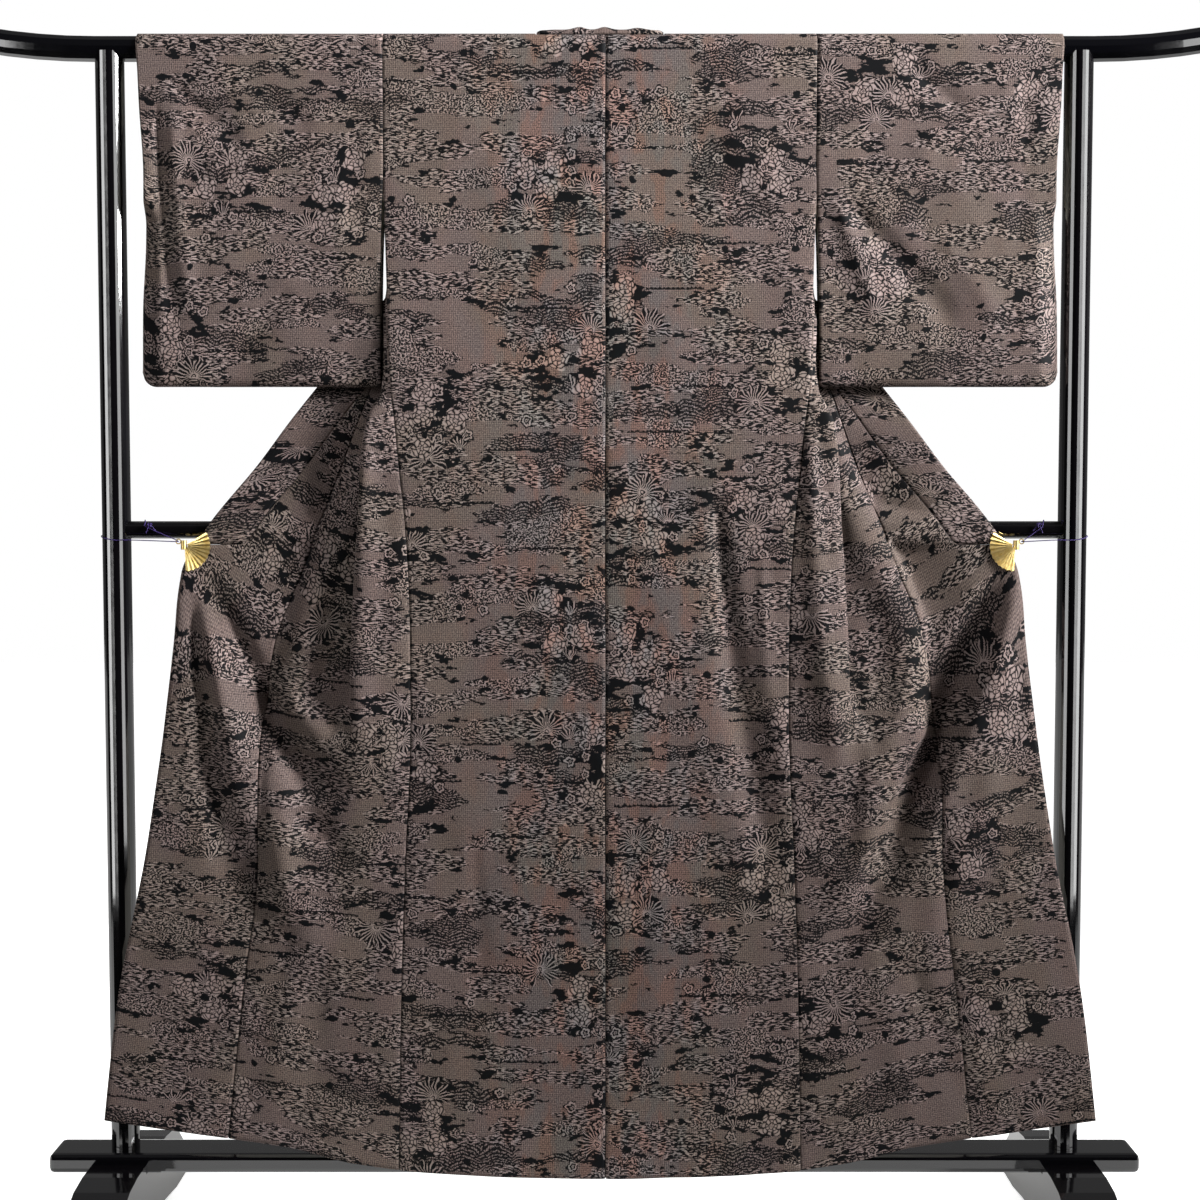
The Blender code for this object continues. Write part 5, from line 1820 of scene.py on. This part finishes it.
    def make_okumi(self, side: Side) -> None:
        """Make the overlap panel between a front and the collar, down to the hem.

        Args:
            side: the panel's side.
        """
        grid, flat = [], []
        levels = self.fall.levels[self.fall.levels <= TIP_Z + WELD]
        for level in levels:
            row = self.fall.row(side, level)
            runs = np.linspace(row.seam + SEAM / 2, row.collar - SEAM / 2, OKUMI_COLUMNS + 1)
            outer = np.linspace(row.collar - SEAM / 2, row.end, BELOW_COLLAR_COLUMNS + 1)[1:]
            points = row.at(np.concatenate((runs, outer)))
            sink = self.pucker(runs - row.seam)
            if level >= COLLAR_END_Z:
                points[OKUMI_COLUMNS + 1:] = HOLE
                sink = sink + self.pucker(row.collar - runs)
            points[:OKUMI_COLUMNS + 1, 1] += sink
            grid.append(points)
            across = np.concatenate((runs, outer)) - row.seam
            rise = np.interp(level, GRAIN_LEVELS, GRAIN_RISES) * (across + row.seam) ** 2
            flat.append(np.stack((across, level - rise), -1))
        flat = np.stack(flat) * (side.value, 1.0) + CUT_PLACES[f"okumi_{side.word}"]
        grid = np.stack(grid)
        lines = turn_in(grid[:, 0], grid[:, 1], side.value, 1.0)
        grid = np.concatenate((np.stack(lines[::-1], 1), grid[:, 1:]), 1)
        flat = np.concatenate((np.repeat(flat[:, :1], len(lines), 1), flat[:, 1:]), 1)
        above = levels >= COLLAR_END_Z
        last = OKUMI_COLUMNS + len(lines) - 1
        lines = turn_in(grid[above, last], grid[above, last - 1], -side.value, 1.0, 1.0)
        for index, line in enumerate(lines):
            grid[above, last + index] = line
        allowance = np.zeros(grid.shape[:2], bool)
        allowance[:, :len(lines) - 2] = True
        allowance[above, last + 2:] = True
        panel = Panel(grid, flat, flip=side is Side.LEFT, allowance=allowance)
        item = panel.make(f"cloth_okumi_{side.word}", CLOTH, (self.silk, self.lining))
        self.dress(item, (self.okumi_width, self.okumi_length), self.okumi_area)

    def make_collar(self) -> None:
        """Make the band from the right clip, round the neck, to the left clip."""
        arms = {}
        levels = [COLLAR_END_Z] + [z for z in self.fall.levels if z > COLLAR_END_Z]
        for side in Side:
            arm = []
            for level in levels:
                row = self.fall.row(side, level)
                runs = np.linspace(row.collar + row.slack, row.end, COLLAR_COLUMNS + 1)
                points = row.at(runs)
                points[:, 1] += self.pucker(runs - row.collar)
                arm.append(points)
            arms[side] = arm + self.neck_rows(side)
        points = np.stack(arms[Side.RIGHT] + arms[Side.LEFT][::-1])
        middle = points[:, COLLAR_COLUMNS // 2]
        along = np.concatenate(((0.0,), np.cumsum(np.linalg.norm(np.diff(middle, axis=0), axis=1))))
        across = np.linspace(0.0, self.collar_folded, COLLAR_COLUMNS + 1)
        flat = np.stack(np.broadcast_arrays(across[None, :], along[:, None]), -1)
        flat = flat + CUT_PLACES["collar"]
        steady = len(levels)
        turned = np.zeros(len(points))
        turned[:steady] = turned_below_rail(np.array(levels))
        turned[-steady:] = turned[:steady][::-1]
        lines = turn_in(points[:, 0], points[:, 1], 1.0, turned, 0.0, COLLAR_CLOTH)
        points = np.concatenate((np.stack(lines[::-1], 1), points[:, 1:]), 1)
        flat = np.concatenate((np.repeat(flat[:, :1], len(lines), 1), flat[:, 1:]), 1)
        panel = Panel(points, flat)
        item = panel.make("cloth_collar", COLLAR_CLOTH, (self.silk,), lined=False)
        self.dress(item, (self.collar_width, self.collar_length))

    def neck_rows(self, side: Side) -> list[Array]:
        """Work out the collar's rows from the rail's far side to the middle of the back.

        Args:
            side: the collar's side.

        Returns:
            The rows in order.
        """
        rows = []
        corner = NECK_OUT - SEAM
        for angle in np.linspace(90.0, NECK_SIDE_END, NECK_SIDE_ROWS):
            share = (90.0 - angle) / (90.0 - NECK_SIDE_END)
            out = corner - COLLAR_CLOTH / 2 * float(ease(share))
            seam = to_world(side, out, COLLAR_WRAP * sin(radians(angle)),
                            RAIL_Z + COLLAR_WRAP * cos(radians(angle)))
            rows.append(self.neck_section(side, seam, COLLAR_WRAP * radians(90.0 - angle)))
        walked = COLLAR_WRAP * radians(90.0 - NECK_SIDE_END)
        angle = radians(NECK_BACK + NECK_BACK_CLEAR)
        for out in np.linspace(*NECK_BACK_OUTS, NECK_BACK_ROWS):
            seam = to_world(side, out, COLLAR_WRAP * sin(angle), RAIL_Z + COLLAR_WRAP * cos(angle))
            rows.append(self.neck_section(side, seam, walked + corner - out))
        return rows

    @staticmethod
    def neck_section(side: Side, seam: Array, run: float) -> Array:
        """Work out one row of the collar near the neck.

        Args:
            side: the collar's side.
            seam: the row's place on the seam.
            run: how far along the neckline that is.

        Returns:
            The row's points, from the seam to the free fold.
        """
        key = NeckKey(run, *(read_column(NECK_KEYS, name, run) for name in NeckKey._fields[1:]))
        wave = sum(height * np.exp(-((seam[0] - MIDDLE - place) / NECK_WAVE_WIDTH) ** 2)
                   for place, height in NECK_WAVES)
        free = to_world(side, key.out, key.y, RAIL_Z + key.rise)
        first = seam + np.array((-side.value * ROLL_REACH * (1.0 - key.turned),
                                 -STAND_LEAN * key.turned, (STAND_RISE + wave) * key.turned))
        second = free + np.array((side.value * key.bend_out, key.bend_y,
                                  key.bend_z + wave * key.turned))
        t = np.linspace(0.0, 1.0, COLLAR_COLUMNS + 1)[:, None]
        return ((1 - t) ** 3 * seam + 3 * (1 - t) ** 2 * t * first
                + 3 * (1 - t) * t ** 2 * second + t ** 3 * free)

    def make_sleeve(self, side: Side) -> None:
        """Make a flat tube along the rail, open at the armhole and at the upper cuff.

        Args:
            side: the sleeve's side.
        """
        steps = np.concatenate((np.linspace(0.0, CORNER_STEP, SLEEVE_COLUMNS)[:-1],
                                np.linspace(CORNER_STEP, 1.0, CORNER_COLUMNS)))
        grid = np.stack([self.sleeve_ring(side, float(step)) for step in steps])
        middle = grid[len(grid) // 2]
        along = np.concatenate(((0.0,), np.cumsum(np.linalg.norm(np.diff(middle, axis=0), axis=1))))
        across = steps * self.sleeve_width
        flat = np.stack(np.broadcast_arrays(across[:, None], along[None, :]), -1)
        flat = flat * (side.value, -1.0) + CUT_PLACES[f"sleeve_{side.word}"]
        lines = turn_in(grid[0], grid[1], -side.value, turned_below_rail(grid[0, :, 2]))
        grid = np.concatenate((np.stack(lines[::-1]), grid[1:]))
        flat = np.concatenate((np.repeat(flat[:1], len(lines), 0), flat[1:]))
        allowance = np.zeros(grid.shape[:2], bool)
        allowance[:len(lines) - 2] = True
        panel = Panel(grid, flat, flip=side is Side.LEFT, closed=True, allowance=allowance)
        item = panel.make(f"cloth_sleeve_{side.word}", CLOTH, (self.silk, self.lining))
        self.dress(item, (self.sleeve_width, self.sleeve_length))

    def sleeve_ring(self, side: Side, step: float) -> Array:
        """Return one ring, from the front wall over the rail to the back wall.

        Args:
            side: the sleeve's side.
            step: 0 at the armhole, 1 at the cuff.

        Returns:
            The ring's points in order.
        """
        rail_inner = read_column(SLEEVE_ROWS, "inner", RAIL_Z) + SEAM / 2
        rail_outer = read_column(SLEEVE_ROWS, "outer", RAIL_Z)
        inward = (1.0 - step) * (rail_outer - rail_inner)
        corner = 0.0
        if inward < SLEEVE_CORNER:
            corner = SLEEVE_CORNER - sqrt(SLEEVE_CORNER ** 2 - (SLEEVE_CORNER - inward) ** 2)
        stretch = (RAIL_Z - SLEEVE_BOTTOM - corner) / (RAIL_Z - SLEEVE_BOTTOM)
        levels = np.linspace(SLEEVE_UNDER_Z, TOP_ROW_Z, SLEEVE_LEVELS)
        turns = np.radians(np.linspace(SLEEVE_UNDER_TURN, 180.0 - SLEEVE_UNDER_TURN,
                                       SLEEVE_UNDER_POINTS))
        under = levels[0] - (levels[0] - SLEEVE_BOTTOM) * np.sin(turns)
        z = np.concatenate((levels, levels[::-1], under))
        wall = np.concatenate((np.ones(len(levels)), -np.ones(len(levels)), -np.cos(turns)))
        inner, outer, back, front = (
            np.array([read_column(SLEEVE_ROWS, name, height) for height in z])
            for name in ("inner", "outer", "back_y", "front_y"))
        half = (front - back) / 2
        pinch = ease(1.0 - inward / PINCH_REACH) * ease(
            (CUFF_Z + CUFF_PINCH_ABOVE - z) / CUFF_PINCH_FALL)
        half = half + (CUFF_PINCH - half) * pinch
        out = inner + SEAM / 2 + (outer - inner - SEAM / 2) * step
        y = (back + front) / 2 + wall * half
        free = 1.0 - pinch
        shown = push(SLEEVE_FOLDS + SLEEVE_CREASES, side, out, z) * (0.5 - 0.5 * wall)
        hidden = push(HIDDEN_SLEEVE_FOLDS, side, out, z) * (0.5 + 0.5 * wall)
        spread, shift = SLEEVE_RIPPLE
        y = y + (shown + hidden) * free + ripple(side, out * spread + shift, z)
        points = to_world(side, out, y, RAIL_Z - (RAIL_Z - z) * stretch)
        angles = np.radians(np.linspace(90.0, -90.0, SLEEVE_OVER_POINTS))
        rail_out = rail_inner * (1.0 - step) + rail_outer * step
        over = to_world(side, rail_out, WRAP * np.sin(angles), RAIL_Z + WRAP * np.cos(angles))
        count = len(levels)
        return np.vstack((points[:count], over, points[count:]))


# Stand and clips
@dataclass
class Stand:
    """The lacquered display stand, which keeps its solids."""

    nodes: tuple[str, ...] = ("rail", "post_left", "post_right", "crossbar", "base_board",
                              "foot_left", "foot_right")

    def dress(self, finish: bpy.types.Material) -> None:
        """Give the stand its lacquer."""
        for name in self.nodes:
            paint(name, finish)


@dataclass
class Clips:
    """The fan clips and their cords, which keep their solids."""

    def dress(self, gilt: bpy.types.Material, cord: bpy.types.Material) -> None:
        """Give the clips and cords their finishes."""
        for side in Side:
            paint(f"clip_{side.word}", gilt)
            paint(f"cord_{side.word}", cord)


@dataclass
class Knot:
    """The small knot that ties a cord loop to the crossbar, with its two tails."""

    side: Side
    out: float = 0.6285
    front: float = -0.0168
    height: float = 1.0175
    size: float = 0.00105
    deep: float = 0.81          # for its size
    parted: float = 0.30        # radians of a turn, left open where the tails start
    tails: tuple = ((0.004, 0.001, -0.011), (-0.006, 0.002, -0.008))
    tail_points: int = 9
    radius: float = 0.0007
    points: int = 72

    def path(self) -> Array:
        """Return the cord's way through the knot."""
        t = np.linspace(self.parted, 2 * pi - self.parted, self.points)
        wound = np.stack((np.sin(t) + 2 * np.sin(2 * t), -self.deep * np.sin(3 * t),
                          np.cos(t) - 2 * np.cos(2 * t)), -1) * self.size
        away = np.linspace(0.0, 1.0, self.tail_points)[1:, None]
        first = wound[0] + away[::-1] * self.tails[0]
        last = wound[-1] + away * self.tails[1]
        route = np.vstack((first, wound, last)) * (self.side.value, 1.0, 1.0)
        return route + (self.side.value * self.out, self.front, self.height)

    def build(self, finish: bpy.types.Material) -> None:
        """Make the knot.

        Args:
            finish: the cord's material.
        """
        name = f"cord_knot_{self.side.word}"
        route = self.path()
        mesh = bpy.data.meshes.new(name + "_path")
        mesh.from_pydata(route.tolist(), [(i, i + 1) for i in range(len(route) - 1)], [])
        item = show(name, mesh)
        weave_along(item, self.radius, finish)
        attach(item, "root")
        log.info("%s: %d points along its path", name, len(route))


def weave_along(item: bpy.types.Object, radius: float, finish: bpy.types.Material) -> None:
    """Turn an object's path into a round cord.

    Args:
        item: the object, whose mesh holds the path's edges.
        radius: the cord's radius.
        finish: its material.
    """
    tree = bpy.data.node_groups.new("cord_along_path", "GeometryNodeTree")
    socket = tree.interface.new_socket
    socket("Path", in_out="INPUT", socket_type="NodeSocketGeometry")
    inputs = {"Radius": socket("Radius", in_out="INPUT", socket_type="NodeSocketFloat"),
              "Sides": socket("Sides", in_out="INPUT", socket_type="NodeSocketInt"),
              "Finish": socket("Finish", in_out="INPUT", socket_type="NodeSocketMaterial")}
    socket("Cord", in_out="OUTPUT", socket_type="NodeSocketGeometry")
    kinds = ("NodeGroupInput", "GeometryNodeMeshToCurve", "GeometryNodeCurvePrimitiveCircle",
             "GeometryNodeCurveToMesh", "GeometryNodeRealizeInstances",
             "GeometryNodeSetMaterial", "NodeGroupOutput")
    start, curve, ring, tube, whole, coat, end = (tree.nodes.new(kind) for kind in kinds)
    for source, target in (
            (start.outputs["Path"], curve.inputs["Mesh"]),
            (start.outputs["Radius"], ring.inputs["Radius"]),
            (start.outputs["Sides"], ring.inputs["Resolution"]),
            (curve.outputs["Curve"], tube.inputs["Curve"]),
            (ring.outputs["Curve"], tube.inputs["Profile Curve"]),
            (tube.outputs["Mesh"], whole.inputs["Geometry"]),
            (whole.outputs["Geometry"], coat.inputs["Geometry"]),
            (start.outputs["Finish"], coat.inputs["Material"]),
            (coat.outputs["Geometry"], end.inputs["Cord"])):
        tree.links.new(source, target)
    tube.inputs["Fill Caps"].default_value = True
    modifier = item.modifiers.new("Cord", "NODES")
    modifier.node_group = tree
    for name, value in (("Radius", radius), ("Sides", 10), ("Finish", finish)):
        modifier[inputs[name].identifier] = value
    graph = bpy.context.evaluated_depsgraph_get()
    made = bpy.data.meshes.new_from_object(item.evaluated_get(graph), depsgraph=graph)
    item.modifiers.remove(modifier)
    old, item.data = item.data, made
    bpy.data.meshes.remove(old)


def paint(name: str, finish: bpy.types.Material) -> None:
    """Put a finish on a solid that stays."""
    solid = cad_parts[name]
    for place in solid.material_slots:
        place.material = finish
    log.info("%s: %s", name, finish.name)


# Studio
class Softbox(NamedTuple):
    """One soft lamp."""

    name: str
    place: tuple[float, float, float]
    aim: tuple[float, float, float]
    size: Place
    power: float
    spread: float = 180.0


@dataclass
class Studio:
    """Floor, lamps, surroundings and camera."""

    camera_place: tuple[float, float, float] = (0.008, -2.469, 1.045)
    camera_pitch: float = 86.873
    lens: float = 51.99
    # How bright the surroundings are in front and overhead, for the white behind, and
    # in a mirror.  The spans are where the white behind and the light overhead grow.
    room: float = 0.05
    overhead: float = 0.45
    mirrored: float = 0.18
    behind: Place = (-0.10, 0.40)
    above: Place = (0.55, 0.85)
    floor_reach: float = 9.0
    floor_front: float = -0.35
    softboxes: tuple[Softbox, ...] = (
        Softbox("softbox_left", (-2.5, -2.0, 2.8), (0.0, 0.0, 1.8), (0.8, 1.4), 8.0, 70.0),
        Softbox("softbox_right", (4.2, -1.6, 3.0), (0.0, 0.0, 1.95), (1.0, 2.0), 132.0, 58.0),
        # Narrow lamps for the two streaks down each post: the one towards its own side,
        # and the one towards the garment.
        Softbox("strip_left", (-2.459, -1.313, 1.25), (-0.679, -0.019, 1.25), (0.13, 2.5), 8.0),
        Softbox("strip_right", (2.475, -1.313, 1.25), (0.695, -0.019, 1.25), (0.13, 2.5), 8.0),
        Softbox("strip_inner_left", (1.745, -2.126, 1.25), (-0.661, -0.017, 1.25),
                (0.17, 2.6), 7.0),
        Softbox("strip_inner_right", (-1.728, -2.126, 1.25), (0.678, -0.017, 1.25),
                (0.17, 2.6), 7.0),
    )

    def build(self) -> None:
        """Set up everything round the object."""
        self.make_floor()
        self.make_world()
        for softbox in self.softboxes:
            self.make_softbox(softbox)

    def make_camera(self) -> None:
        """Place the camera where the photograph was taken."""
        data = bpy.data.cameras.new("camera")
        data.lens = self.lens
        data.sensor_width = 36.0
        data.clip_end = 100.0
        camera = show("camera", data)
        camera.location = self.camera_place
        camera.rotation_euler = (radians(self.camera_pitch), 0.0, 0.0)
        bpy.context.scene.camera = camera

    def make_floor(self) -> None:
        """Lay the pale floor."""
        mesh = bpy.data.meshes.new("floor")
        half, front = self.floor_reach, self.floor_front
        mesh.from_pydata([(-half, front, 0.0), (half, front, 0.0), (half, half, 0.0),
                          (-half, half, 0.0)], [], [(0, 1, 2, 3)])
        mesh.materials.append(StudioPaper().make("studio_paper"))
        show("floor", mesh)

    def make_world(self) -> None:
        """Surround the object with white behind it and a dim room in front."""
        g = Graph(bpy.data.worlds.new("studio"), "Background")
        bpy.context.scene.world = g.owner
        place = g.add("ShaderNodeTexCoord", None, None, "Generated")
        parts = g.add("ShaderNodeSeparateXYZ", None, {0: place})
        behind = parts.also("Y").fade(self.behind, (self.room, 1.0))
        above = parts.also("Z").fade(self.above, (0.0, self.overhead))
        mirrored = g.add("ShaderNodeLightPath", None, None, "Is Glossy Ray")
        strength = behind.either(above) * mirrored.fade((0.0, 1.0), (1.0, self.mirrored))
        g.finish(Color=(1.0, 1.0, 1.0, 1.0),
                 Strength=strength.either(mirrored.also("Is Camera Ray")))

    def make_softbox(self, softbox: Softbox) -> None:
        """Hang one lamp.

        Args:
            softbox: its size, place and power.
        """
        data = bpy.data.lights.new(softbox.name, "AREA")
        data.shape = "RECTANGLE"
        data.size, data.size_y = softbox.size
        data.energy = softbox.power
        data.spread = radians(softbox.spread)
        lamp = show(softbox.name, data)
        lamp.location = softbox.place
        aim = Vector(softbox.aim) - Vector(softbox.place)
        lamp.rotation_euler = aim.to_track_quat("-Z", "Y").to_euler()


def main() -> None:
    """Build and dress the sub-assemblies in order."""
    logging.basicConfig(level=logging.INFO, format="%(name)s %(message)s")
    bpy.context.scene.view_settings.view_transform = "Standard"
    studio = Studio()
    studio.make_camera()
    Stand().dress(Lacquer().make("black_lacquer"))
    cord = TieCord().make("purple_cord")
    Clips().dress(Gilt().make("gilt_brass"), cord)
    for side in Side:
        Knot(side).build(cord)
    silk = FiguredSilk().make("figured_silk")
    lining = Lining().make("ivory_lining")
    Garment(Fall(), silk, lining).build()
    studio.build()


if __name__ == "__main__":
    main()
